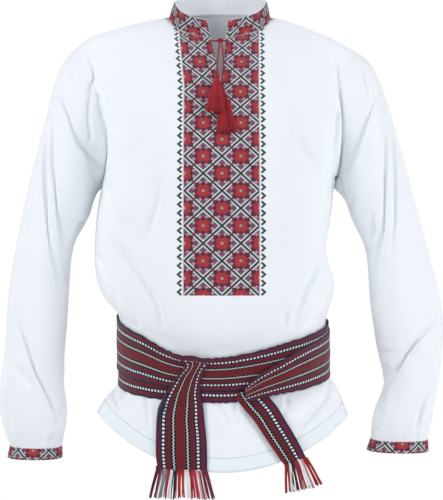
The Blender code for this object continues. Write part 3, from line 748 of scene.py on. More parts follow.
class Shading:
    """A node tree that is written down as sums."""

    def __init__(self, tree: bpy.types.NodeTree) -> None:
        """Start on a tree."""
        self.tree = tree

    def node(self, kind: str, **settings: object) -> bpy.types.Node:
        """Add a node.

        Args:
            kind: Blender's name for it.
            settings: Its settings by name.

        Returns:
            The node.
        """
        made = self.tree.nodes.new(kind)
        for name, value in settings.items():
            setattr(made, name, value)
        return made

    def feed(self, node: bpy.types.Node, socket: int | str, value: Value) -> None:
        """Link a socket to an input, or set the input's own value.

        Args:
            node: The node.
            socket: Which of its inputs.
            value: The socket or the value.
        """
        if isinstance(value, bpy.types.NodeSocket):
            self.tree.links.new(value, node.inputs[socket])
        else:
            node.inputs[socket].default_value = value

    def fed(self, node: bpy.types.Node, output: int | str, **values: Value) -> bpy.types.NodeSocket:
        """Feed a node's inputs by name.

        Args:
            node: The node.
            output: Which of its outputs is wanted.
            values: What goes into each input.

        Returns:
            The output.
        """
        for name, value in values.items():
            self.feed(node, name, value)
        return node.outputs[output]

    def math(self, operation: str, *values: Value) -> bpy.types.NodeSocket:
        """Work out one sum.

        Args:
            operation: Blender's name for it.
            values: Up to three values.

        Returns:
            The result.
        """
        made = self.node("ShaderNodeMath", operation=operation)
        for number, value in enumerate(values):
            self.feed(made, number, value)
        return made.outputs[0]

    def times(self, first: Value, second: Value) -> bpy.types.NodeSocket:
        """One value times another."""
        return self.math("MULTIPLY", first, second)

    def plus(self, first: Value, second: Value) -> bpy.types.NodeSocket:
        """One value and another."""
        return self.math("ADD", first, second)

    def minus(self, first: Value, second: Value) -> bpy.types.NodeSocket:
        """One value less another."""
        return self.math("SUBTRACT", first, second)

    def size(self, value: Value) -> bpy.types.NodeSocket:
        """A value without its sign."""
        return self.math("ABSOLUTE", value)

    def under(self, value: Value, limit: Value) -> bpy.types.NodeSocket:
        """1 where a value is under a limit, and otherwise 0."""
        return self.math("LESS_THAN", value, limit)

    def over(self, value: Value, limit: Value) -> bpy.types.NodeSocket:
        """1 where a value is over a limit, and otherwise 0."""
        return self.math("GREATER_THAN", value, limit)

    def between(self, value: Value, low: float, high: float) -> bpy.types.NodeSocket:
        """1 where a value lies between two others, and otherwise 0."""
        above = self.over(value, low)
        return self.times(above, self.under(value, high))

    def step(self, value: Value, pitch: float) -> bpy.types.NodeSocket:
        """How far a value is on its way through a pitch: 0 to 1."""
        return self.math("FRACT", self.math("DIVIDE", value, pitch))

    def wave(self, value: Value, pitch: float) -> bpy.types.NodeSocket:
        """A sine from -1 to 1 that comes back each pitch."""
        return self.math("SINE", self.times(value, 2 * math.pi / pitch))

    def blend(self, share: Value, first: Value, second: Value) -> bpy.types.NodeSocket:
        """Mix two colours.

        Args:
            share: The share of the second one.
            first: A colour.
            second: Another.

        Returns:
            The mixed colour.
        """
        made = self.node("ShaderNodeMix", data_type="RGBA", blend_type="MIX")
        for socket, value in ((0, share), (6, first), (7, second)):
            self.feed(made, socket, value)
        return made.outputs[2]

    def place(self) -> bpy.types.NodeSocket:
        """The place on the piece, in its own axes."""
        return self.node("ShaderNodeTexCoord").outputs["Object"]

    def parts(self, value: Value) -> Sequence[bpy.types.NodeSocket]:
        """Take a place apart.

        Args:
            value: The place.

        Returns:
            Its X, Y and Z.
        """
        made = self.node("ShaderNodeSeparateXYZ")
        self.feed(made, 0, value)
        return made.outputs

    def thread(self) -> bpy.types.NodeSocket:
        """The colour that comes with each stitch or strand."""
        return self.node("ShaderNodeVertexColor", layer_name="thread").outputs[0]

    def noise(self, place: Value, scale: Value, detail: float = 2.0) -> bpy.types.NodeSocket:
        """Soft noise from 0 to 1."""
        made = self.node("ShaderNodeTexNoise")
        return self.fed(made, "Fac", Vector=place, Scale=scale, Detail=detail)

    def bands(self, value: Value, stops: Sequence[tuple[float, Colour]]) -> bpy.types.NodeSocket:
        """Lay plain bands of colour side by side.

        Args:
            value: What goes across the bands.
            stops: Where each band starts and its colour.

        Returns:
            The colour.
        """
        made = self.node("ShaderNodeValToRGB")
        ramp = made.color_ramp
        ramp.interpolation = "CONSTANT"
        while len(ramp.elements) < len(stops):
            ramp.elements.new(0.5)
        for element, (start, colour) in zip(ramp.elements, stops):
            element.position = start
            element.color = colour
        self.feed(made, 0, value)
        return made.outputs[0]

    def bump(self, height: Value, distance: float) -> bpy.types.NodeSocket:
        """A normal that is tilted by a height."""
        made = self.node("ShaderNodeBump")
        return self.fed(made, "Normal", Height=height, Distance=distance, Strength=1.0)

    def grouped(
        self, group: bpy.types.NodeTree, **values: Value
    ) -> dict[str, bpy.types.NodeSocket]:
        """Place a node group.

        Args:
            group: The group.
            values: What goes into its inputs, by their names in small letters.

        Returns:
            Its outputs by name.
        """
        made = self.node("ShaderNodeGroup", node_tree=group)
        for name, value in values.items():
            self.feed(made, name.capitalize(), value)
        return {socket.name: socket for socket in made.outputs}


def new_group(
    name: str, inputs: Sequence[tuple[str, str, float]], outputs: Sequence[str]
) -> tuple[bpy.types.NodeTree, Shading, bpy.types.Node, bpy.types.Node]:
    """Start a node group.

    Args:
        name: The group's name.
        inputs: Name, kind of socket and value of each input.
        outputs: The names of its number outputs.

    Returns:
        The group, its shading, and its input and output nodes.
    """
    group = bpy.data.node_groups.new(name, "ShaderNodeTree")
    for socket, kind, value in inputs:
        made = group.interface.new_socket(name=socket, in_out="INPUT", socket_type=kind)
        if kind == "NodeSocketFloat":
            made.default_value = value
    for socket in outputs:
        group.interface.new_socket(name=socket, in_out="OUTPUT", socket_type="NodeSocketFloat")
    shading = Shading(group)
    return group, shading, shading.node("NodeGroupInput"), shading.node("NodeGroupOutput")


def weave_group() -> bpy.types.NodeTree:
    """Weave threads over and under each other, with thick places.

    Returns:
        The node group, which is made once.
    """
    if "plain weave" in bpy.data.node_groups:
        return bpy.data.node_groups["plain weave"]
    group, on, given, out = new_group(
        "plain weave",
        [("Place", "NodeSocketVector", 0), ("Pitch", "NodeSocketFloat", 0.7 * MM)],
        ["Height", "Slub"],
    )
    place = given.outputs["Place"]
    parts = on.parts(place)
    turn = on.math("DIVIDE", math.pi, given.outputs["Pitch"])
    across = on.math("SINE", on.times(parts[0], turn))
    down = on.math("SINE", on.times(parts[1], turn))
    crossing = on.size(on.times(across, down))
    slubs = []
    for stretch in ((60, 1800, 1), (1800, 60, 1)):
        longer = on.node("ShaderNodeVectorMath", operation="MULTIPLY")
        on.feed(longer, 0, place)
        longer.inputs[1].default_value = stretch
        slubs.append(on.noise(longer.outputs[0], 1.0, 1.0))
    slub = on.math("MAXIMUM", *slubs)
    on.feed(out, "Height", on.plus(on.times(crossing, 0.6), on.times(slub, 0.8)))
    on.feed(out, "Slub", slub)
    return group


def yarn_group() -> bpy.types.NodeTree:
    """Give a yarn its uneven dye and its fibres.

    Returns:
        The node group, which is made once.
    """
    if "yarn" in bpy.data.node_groups:
        return bpy.data.node_groups["yarn"]
    group, on, given, out = new_group(
        "yarn",
        [("Place", "NodeSocketVector", 0), ("Scale", "NodeSocketFloat", 400)],
        ["Tone", "Fibre"],
    )
    broad = on.noise(given.outputs["Place"], 45.0, 3.0)
    fine = on.noise(given.outputs["Place"], given.outputs["Scale"], 3.0)
    on.feed(out, "Tone", on.plus(on.times(broad, 0.6), on.times(fine, 0.4)))
    on.feed(out, "Fibre", fine)
    return group


def start_material(
    name: str, roughness: float, sheen: float
) -> tuple[bpy.types.Material, Shading, bpy.types.Node]:
    """Start a finish.

    Args:
        name: The material's name.
        roughness: How dull it is.
        sheen: How much light its fibres catch at the edges.

    Returns:
        The material, its shading and its shader.
    """
    material = bpy.data.materials.new(name)
    material.use_nodes = True
    shader = material.node_tree.nodes["Principled BSDF"]
    for socket, value in (
        ("Roughness", roughness),
        ("Sheen Weight", sheen),
        ("Sheen Roughness", 0.5),
        ("Specular IOR Level", 0.25),
    ):
        shader.inputs[socket].default_value = value
    return material, Shading(material.node_tree), shader


@dataclass(frozen=True)
class LinenFinish:
    """White washed linen in a plain weave, with a stitched hem."""

    colour: Colour = srgb("F8FAFB")
    hollow: Colour = srgb("EDF1F5")
    hem: Colour = srgb("F0F5F9")
    stitches: Colour = srgb("BCC5D0")
    pitch: float = 0.75 * MM
    relief: float = 0.16 * MM
    stitch_pitch: float = 3.2 * MM
    stitch_share: float = 0.68
    row_half: float = 0.014

    def build(self) -> bpy.types.Material:
        """Make the material.

        Returns:
            The material.
        """
        material, on, shader = start_material("white linen", 0.86, 0.18)
        cloth = on.node("ShaderNodeUVMap", uv_map="cloth").outputs[0]
        weave = on.grouped(weave_group(), place=cloth, pitch=self.pitch)
        cloud = on.noise(on.place(), 14.0, 3.0)
        tone = on.plus(on.times(cloud, 0.5), on.times(weave["Slub"], 0.35))
        colour = on.blend(tone, self.colour, self.hollow)
        turned = on.node("ShaderNodeAttribute", attribute_name="hem").outputs["Fac"]
        colour = on.blend(on.over(turned, 0.5), colour, self.hem)
        run = on.parts(cloth)[0]
        dash = on.under(on.step(run, self.stitch_pitch), self.stitch_share)
        row = on.under(on.size(on.minus(turned, 0.5)), self.row_half)
        colour = on.blend(on.times(row, dash), colour, self.stitches)
        on.feed(shader, "Base Color", colour)
        on.feed(shader, "Normal", on.bump(weave["Height"], self.relief))
        return material


@dataclass(frozen=True)
class StitchFinish:
    """Crossed stitches of dyed thread, each in its own cell of the UV map, with painted shade
    between the arms of each cross.
    """

    name: str
    columns: int
    rows: int
    relief: float = 0.3 * MM
    arm_slope: float = 3.2
    # how far the painted shade off the stitches' arms darkens the thread towards black
    deep: float = 0.14
    fibre: float = 900.0

    def build(self) -> bpy.types.Material:
        """Make the material.

        Returns:
            The material.
        """
        material, on, shader = start_material(self.name, 0.62, 0.2)
        spot = on.parts(on.node("ShaderNodeUVMap", uv_map="UVMap").outputs[0])
        across = on.minus(on.math("FRACT", on.times(spot[0], self.columns)), 0.5)
        down = on.minus(on.math("FRACT", on.times(spot[1], self.rows)), 0.5)
        rising, falling = on.size(on.minus(across, down)), on.size(on.plus(across, down))
        arm = on.times(on.math("MINIMUM", rising, falling), self.arm_slope)
        height = on.minus(1.0, on.math("MINIMUM", arm, 1.0))
        yarn = on.grouped(yarn_group(), place=on.place(), scale=self.fibre)
        thread = on.thread()
        # painted shade: off the arms of each cross the thread is darkened towards black, and on
        # them it keeps its own colour
        hollow = on.blend(self.deep, thread, DARK)
        lit = on.blend(on.plus(on.times(height, 0.75), 0.25), hollow, thread)
        on.feed(shader, "Base Color", on.blend(on.times(yarn["Tone"], 0.2), lit, DARK))
        relief = on.plus(height, on.times(yarn["Fibre"], 0.3))
        on.feed(shader, "Normal", on.bump(relief, self.relief))
        return material


@dataclass(frozen=True)
class YarnFinish:
    """Spun thread whose colour comes with each strand."""

    name: str
    roughness: float = 0.7
    relief: float = 0.25 * MM
    fibre: float = 1500.0
    drawn_out: float = 0.15

    def build(self) -> bpy.types.Material:
        """Make the material.

        Returns:
            The material.
        """
        material, on, shader = start_material(self.name, self.roughness, 0.25)
        place = on.place()
        longer = on.node("ShaderNodeMapping")
        longer.inputs["Scale"].default_value = (1, 1, self.drawn_out)
        spot = on.fed(longer, 0, Vector=place)
        yarn = on.grouped(yarn_group(), place=spot, scale=self.fibre)
        tone = on.blend(on.times(yarn["Tone"], 0.5), on.thread(), DARK)
        on.feed(shader, "Base Color", tone)
        on.feed(shader, "Normal", on.bump(yarn["Fibre"], self.relief))
        return material


@dataclass(frozen=True)
class SashFinish:
    """The sash's warp stripes with their blocks, zigzags and dots.

    Across V the pattern is the same on both halves. Places in it are shares of half the width,
    from the middle to the selvedge, and pitches along U are in metres.
    """

    zigzag_at: float = 0.27
    zigzag_sway: float = 0.032
    zigzag_half: float = 0.019
    zigzag_pitch: float = 5.0 * MM
    blocks: tuple[float, float] = (0.615, 0.705)
    block_pitch: float = 5.6 * MM
    block_share: float = 0.56
    dot_pitch: float = 5.4 * MM
    dot_row: float = 0.085
    dot_half: tuple[float, float] = (0.26, 0.33)
    dots_within: float = 0.155
    dots_between: tuple[float, float] = (0.40, 0.53)
    notch_pitch: float = 5.0 * MM
    notch_share: float = 0.45
    selvedge: float = 0.945
    notch: Colour = srgb("3A3458")
    rib: float = 1.1 * MM
    end: float = 0.014
    relief: float = 0.25 * MM
    fibre: float = 1100.0
    stripes: tuple[tuple[float, Colour], ...] = (
        (0.0, srgb("921B28")),
        (0.17, Thread.BLACK.value),
        (0.345, srgb("1F1A30")),
        (0.385, srgb("861A2A")),
        (0.545, Thread.NAVY.value),
        (0.765, srgb("721A34")),
        (0.925, Thread.NAVY.value),
    )

    def build(self) -> bpy.types.Material:
        """Make the material.

        Returns:
            The material.
        """
        material, on, shader = start_material("woven sash", 0.78, 0.22)
        spot = on.parts(on.node("ShaderNodeUVMap", uv_map="UVMap").outputs[0])
        run, width = spot[0], spot[1]
        out = on.times(on.size(on.minus(width, 0.5)), 2.0)
        colour = self.figured(on, run, out)
        colour = on.blend(self.dots(on, run, width, out), colour, Thread.BLACK.value)
        notch = on.under(on.step(run, self.notch_pitch), self.notch_share)
        colour = on.blend(on.times(notch, on.over(out, self.selvedge)), colour, self.notch)
        yarn = on.grouped(yarn_group(), place=on.place(), scale=self.fibre)
        ribs = on.size(on.wave(run, 2 * self.rib))
        ends = on.size(on.wave(width, 2 * self.end))
        height = on.plus(on.times(ribs, 0.6), on.times(ends, 0.5))
        # painted shade in the grooves between the ribs and the warp ends, mixed with the yarn's
        # uneven dye
        shade = on.plus(on.times(on.minus(1.0, height), 0.3), on.times(yarn["Tone"], 0.3))
        on.feed(shader, "Base Color", on.blend(shade, colour, DARK))
        relief = on.plus(height, on.times(yarn["Fibre"], 0.3))
        on.feed(shader, "Normal", on.bump(relief, self.relief))
        return material

    def figured(self, on: Shading, run: Value, out: Value) -> bpy.types.NodeSocket:
        """Lay the white zigzags and blocks on the stripes.

        Args:
            on: The material's shading.
            run: How far along the sash a place is.
            out: How far out from its middle.

        Returns:
            The colour.
        """
        beat = on.math("PINGPONG", on.math("DIVIDE", run, self.zigzag_pitch / 2), 1.0)
        line = on.plus(on.times(beat, 2 * self.zigzag_sway), self.zigzag_at - self.zigzag_sway)
        zigzag = on.under(on.size(on.minus(out, line)), self.zigzag_half)
        colour = on.blend(zigzag, on.bands(out, self.stripes), Thread.WHITE.value)
        step = on.under(on.step(run, self.block_pitch), self.block_share)
        block = on.times(on.between(out, *self.blocks), step)
        return on.blend(block, colour, Thread.WHITE.value)

    def dots(self, on: Shading, run: Value, width: Value, out: Value) -> bpy.types.NodeSocket:
        """Scatter small dots over the red stripes, each row half a pitch on from the next.

        Args:
            on: The material's shading.
            run: How far along the sash a place is.
            width: How far across it.
            out: How far out from its middle.

        Returns:
            1 in a dot, and otherwise 0.
        """
        lane = on.plus(on.math("DIVIDE", width, self.dot_row / 2), 0.5)
        odd = on.times(on.math("MODULO", on.math("FLOOR", lane), 2.0), 0.5)
        beat = on.math("FRACT", on.plus(on.math("DIVIDE", run, self.dot_pitch), odd))
        along = on.under(on.size(on.minus(beat, 0.5)), self.dot_half[0])
        aside = on.under(on.size(on.minus(on.math("FRACT", lane), 0.5)), self.dot_half[1])
        middle = on.under(out, self.dots_within)
        red = on.math("MAXIMUM", middle, on.between(out, *self.dots_between))
        return on.times(on.times(along, aside), red)


@dataclass(frozen=True)
class PlainFloor:
    """A pale studio floor."""

    colour: Colour = srgb("F4F4F4")
    grain: Colour = srgb("DDDDDD")

    def build(self) -> bpy.types.Material:
        """Make the material.

        Returns:
            The material.
        """
        material, on, shader = start_material("pale floor", 0.9, 0.0)
        grain = on.noise(on.place(), 30.0, 4.0)
        on.feed(shader, "Base Color", on.blend(on.times(grain, 0.12), self.colour, self.grain))
        return material


# ------------------------------------------------------------------ studio


@dataclass
class Studio:
    """The camera, the lights and the floor."""

    distance: float = 2.2
    height: float = -0.384
    view_tall: float = 0.825
    sensor: float = 36.0
    floor_at: float = -1.45
    floor_radius: float = 3.2
    daylight: float = 0.62

    LIGHTS = (
        ("soft light left", (-2.1, -1.4, 0.9), 1.0, 30.0),
        ("soft light right", (2.3, -1.5, 0.3), 1.2, 28.0),
        ("soft light behind", (0.4, 2.2, 1.1), 1.6, 24.0),
    )

    def build(self) -> None:
        """Set up everything round the garment."""
        self.camera()
        self.lights()
        self.world()
        self.floor()
        bpy.context.scene.view_settings.view_transform = "Standard"

    def camera(self) -> None:
        """Set a camera level before the front."""
        data = bpy.data.cameras.new("camera")
        data.sensor_width = self.sensor
        data.lens = self.sensor * self.distance / self.view_tall
        made = bpy.data.objects.new("camera", data)
        made.location = (0, -self.distance, self.height)
        made.rotation_euler = (math.pi / 2, 0, 0)
        bpy.context.scene.collection.objects.link(made)
        bpy.context.scene.camera = made

    def lights(self) -> None:
        """Set a broad soft light up on the left, a weaker one opposite and one behind."""
        for name, spot, size, power in self.LIGHTS:
            data = bpy.data.lights.new(name, "AREA")
            data.size = size
            data.energy = power
            made = bpy.data.objects.new(name, data)
            made.location = spot
            towards = Vector((0, 0, self.height)) - Vector(spot)
            made.rotation_euler = towards.to_track_quat("-Z", "Y").to_euler()
            bpy.context.scene.collection.objects.link(made)

    def world(self) -> None:
        """Let even daylight in, before a white backdrop."""
        world = bpy.data.worlds.new("studio")
        world.use_nodes = True
        on = Shading(world.node_tree)
        shader = world.node_tree.nodes["Background"]
        seen = on.node("ShaderNodeLightPath").outputs["Is Camera Ray"]
        on.feed(shader, "Color", on.blend(seen, srgb("EEF3FA"), LIGHT))
        strength = on.plus(on.times(seen, 1 - self.daylight), self.daylight)
        on.feed(shader, "Strength", strength)
        bpy.context.scene.world = world

    def floor(self) -> None:
        """Lay a round pale floor under everything."""
        bpy.ops.object.select_all(action="DESELECT")
        bpy.ops.mesh.primitive_circle_add(vertices=96, radius=self.floor_radius, fill_type="NGON")
        made = bpy.context.object
        made.name = made.data.name = "floor"
        for vert in made.data.vertices:
            vert.co.z = self.floor_at
        made.data.materials.append(PlainFloor().build())


# ------------------------------------------------------------------ the tie


@dataclass(frozen=True)
class Stop:
    """A place that a cord passes, seen from the front, and how far it stands off the field."""

    x: float
    z: float
    stand: float


@dataclass(frozen=True)
class Tassel:
    """The skirt of a tassel: its length, how far its outer tips spread, and its threads."""

    length: float
    tip_left: float
    tip_right: float
    threads: int


@dataclass
class Tie:
    """The two twisted cords at the slit, their knot and the two tassels."""

    field: Surface
    radius: float = 1.4
    ply_radius: float = 0.78
    ply_off: float = 0.66
    pitch: float = 8.5
    plumb: float = 5.0
    reach: float = 2.5
    slit_reach: float = 22.0
    layer_gap: float = 0.6
    tie_in: float = 35.0
    head: tuple[float, float, float] = (4.3, 3.0, 11.0)
    head_ridges: int = 14
    binding_turns: int = 4
    binding_radius: float = 0.42
    strand_radius: float = 0.82
    strand_reach: float = 3.0
    strand_stray: float = 1.3
    knot: tuple[float, float] = (-1.5, -48.5)
    knot_size: tuple[float, float, float] = (5.2, 2.3, 3.3)
    knot_reach: float = 4.0
    knot_gap: float = 0.3
    knot_steps: int = 144

    ROUTES = {
        "left": (
            Stop(-20, -49, 1.6),
            Stop(-19, -49, 2.6),
            Stop(-13, -49, 2.4),
            Stop(-5, -49, 2.0),
            Stop(-3.5, -56, 2.0),
            Stop(-5, -70, 3.5),
            Stop(-7, -88, 9.0),
            Stop(-7, -103, 14.6),
        ),
        "right": (
            Stop(12, -49, 1.6),
            Stop(11, -49, 2.6),
            Stop(7, -49, 2.4),
            Stop(1, -49, 2.0),
            Stop(0.5, -56, 2.0),
            Stop(2.5, -72, 2.0),
            Stop(3, -95, 3.0),
            Stop(0, -120, 7.0),
        ),
    }
    TASSELS = {"left": Tassel(50, -14, 6, 56), "right": Tassel(67, -4, 22, 60)}

    def build(self) -> None:
        yarn = YarnFinish("tie thread").build()
        front = math.inf
        for side, route in self.ROUTES.items():
            line = smooth_line(self.route(route), 3)
            x, z = (place * MM for place in self.knot)
            reach = self.knot_reach * MM
            near = [p.y for p in line if math.hypot(p.x - x, p.z - z) < reach]
            front = min([front, *near])
            tassel = self.tassel(side, line[-1], self.TASSELS[side], yarn)
            tie_in = [line[-1] - Vector((0, 0, self.tie_in * MM * (n + 1) / 5)) for n in range(5)]
            line = [*line, *tie_in]
            cord = self.cord(side, line, yarn)
            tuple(line[0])
            length_of(line)
            log.info("%s is %.0f mm long", cord.name, length_of(line) / MM)
        self.make_knot(front, yarn)

    def route(self, stops: Sequence[Stop]) -> list[Vector]:
        """Lead a cord over the field.

        Args:
            stops: The places that it passes.

        Returns:
            Its points, with a plumb end.
        """
        points: list[Vector] = []
        for stop in stops:
            reach = self.reach if points else 0.0
            y = self.field.foremost(stop.x * MM, stop.z * MM, reach * MM)
            if y is None:  # over the open slit
                wide = self.slit_reach * MM
                y = self.field.foremost(stop.x * MM, stop.z * MM, reach * MM, wide)
            points.append(Vector((stop.x * MM, y - stop.stand * MM, stop.z * MM)))
        points.append(points[-1] - Vector((0, 0, self.plumb * MM)))
        return points

    def cord(
        self, side: str, line: Sequence[Vector], yarn: bpy.types.Material
    ) -> bpy.types.Object:
        """Twist three plies into one cord.

        Args:
            side: Left or right.
            line: Its middle line.
            yarn: Its finish.

        Returns:
            The cord.
        """
        fine = evenly(line, 130)
        plies = twisted(fine, 3, self.ply_off * MM, self.pitch * MM)
        made = tubes(f"tie_cord_{side}", plies, [self.ply_radius * MM] * 3, sides=8)
        dye(made, lambda face: Thread.CRIMSON.value)
        return finished(made, yarn, Slot.TIE, f"neck_cord_{side}")

    def tassel(
        self, side: str, end: Vector, shape: Tassel, yarn: bpy.types.Material
    ) -> bpy.types.Object:
        """Make a tassel: a bound head over a skirt of threads that lies on the field.

        Args:
            side: Left or right.
            end: Where its cord ends.
            shape: Its skirt.
            yarn: Its finish.

        Returns:
            The tassel.
        """
        top = end - Vector((0, 0, self.layer_gap * MM))
        parts = [self.bound_head(top), self.skirt(Random(side), top, shape), self.binding(top)]
        made = join(parts, f"tie_tassel_{side}")
        return finished(made, yarn, Slot.TIE, f"neck_tassel_{side}")

    def bound_head(self, top: Vector) -> bpy.types.Object:
        """Shape a ridged head with a waist where it is bound.

        Args:
            top: Its uppermost point.

        Returns:
            The head.
        """
        wide, deep, tall = (size * MM for size in self.head)
        bpy.ops.object.select_all(action="DESELECT")
        bpy.ops.mesh.primitive_uv_sphere_add(segments=28, ring_count=16, radius=1)
        head = bpy.context.object
        for vert in head.data.vertices:
            around = math.atan2(vert.co.y, vert.co.x)
            ridge = 1 + 0.035 * math.cos(self.head_ridges * around)
            waist = 1 - 0.22 * math.exp(-(((vert.co.z + 0.55) / 0.16) ** 2))
            full = math.copysign(abs(vert.co.z) ** 0.85, vert.co.z)
            x, y = vert.co.x * wide * ridge * waist, vert.co.y * deep * ridge * waist
            vert.co = top + Vector((x, y, (full - 1) * tall / 2))
        head.data.shade_smooth()
        dye(head, lambda face: Thread.CRIMSON.value)
        return head

    def binding(self, top: Vector) -> bpy.types.Object:
        """Wind turns of thread round a head's waist.

        Args:
            top: The head's uppermost point.

        Returns:
            The turns.
        """
        wide, deep, tall = (size * MM for size in self.head)
        turns = []
        for turn in range(self.binding_turns):
            low = top.z - tall * (0.70 + 0.045 * turn)
            ring = [math.tau * n / 24 for n in range(25)]
            x = [top.x + 0.86 * wide * math.cos(angle) for angle in ring]
            y = [top.y + 0.86 * deep * math.sin(angle) for angle in ring]
            turns.append([Vector((across, away, low)) for across, away in zip(x, y)])
        made = tubes("binding", turns, [self.binding_radius * MM] * len(turns))
        dye(made, lambda face: Thread.CRIMSON.value)
        return made

    def skirt(self, random: Random, top: Vector, shape: Tassel) -> bpy.types.Object:
        """Hang a skirt of threads from a head.

        Args:
            random: Draws what differs from thread to thread.
            top: The head's uppermost point.
            shape: The skirt's sizes.

        Returns:
            The threads.
        """
        wide, deep, tall = (size * MM for size in self.head)
        reach, slit = self.strand_reach * MM, self.slit_reach * MM
        paths, colours = [], []
        for number in range(shape.threads):
            across = (number * 0.618034) % 1
            side = 2 * across - 1
            inward = math.sqrt((number + 0.5) / shape.threads)
            depth = math.sin(number * 2.4) * 0.7 * deep * inward
            root = Vector((top.x + side * 0.8 * wide, top.y + depth, top.z - 0.62 * tall))
            spread = mix(shape.tip_left, shape.tip_right, across) * MM
            length = (shape.length + 0.38 * tall / MM) * random.uniform(0.93, 1.02) * MM
            stray = Vector((random.uniform(-1, 1), random.uniform(-1, 1), 0))
            stray = stray * self.strand_stray * MM
            base = self.field.foremost(root.x, root.z, reach)
            base = base or self.field.foremost(root.x, root.z, reach, slit)
            path = []
            for step in range(9):
                fall = step / 8
                bulge = math.sin(math.pi * min(fall * 1.6, 1)) * side * 0.9 * MM
                x = root.x + spread * fall**0.9 + stray.x * fall + bulge
                z = root.z - length * fall
                below = self.field.foremost(x, z, reach, slit)
                path.append(Vector((x, root.y + below - base + stray.y * fall, z)))
            paths.append(path)
            colours.append(shaded(Thread.CRIMSON.value, random.uniform(0.85, 1.35)))
        made = tubes("skirt", paths, [self.strand_radius * MM] * len(paths), 0.85)
        dye_threads(made, [path[0] for path in paths], colours)
        return made

    def make_knot(self, front: float, yarn: bpy.types.Material) -> None:
        """Tie a small overhand knot of the same cord where the two lengths meet.

        Args:
            front: How far forward the cords come there.
            yarn: Its finish.
        """
        wide, deep, tall = (size * MM for size in self.knot_size)
        radius = self.radius * MM
        y = front - (self.radius + self.knot_gap) * MM - deep
        middle = Vector((self.knot[0] * MM, y, self.knot[1] * MM))
        line = []
        for step in range(self.knot_steps + 1):
            t = math.tau * step / self.knot_steps
            x = (math.sin(t) + 2 * math.sin(2 * t)) / 3 * (wide - radius)
            z = (math.cos(t) - 2 * math.cos(2 * t)) / 3 * (tall - radius * 0.6)
            line.append(middle + Vector((x, -math.sin(3 * t) * (deep - radius * 0.8), z)))
        plies = twisted(line, 3, self.ply_off * MM * 0.9, self.pitch * MM)
        made = tubes("tie_knot", plies, [self.ply_radius * MM] * 3, sides=8)
        dye(made, lambda face: Thread.CRIMSON.value)
        finished(made, yarn, Slot.TIE, "neck_knot")


# ------------------------------------------------------------------ the shirt


@dataclass(frozen=True)
class Crease:
    """A narrow crease, pressed in along a line as it is seen from the front.

    `side` is -1 on the front and 1 on the back. Places and sizes are in millimetres.
    """

    line: tuple[tuple[float, float], ...]
    width: float
    depth: float
    side: int = -1


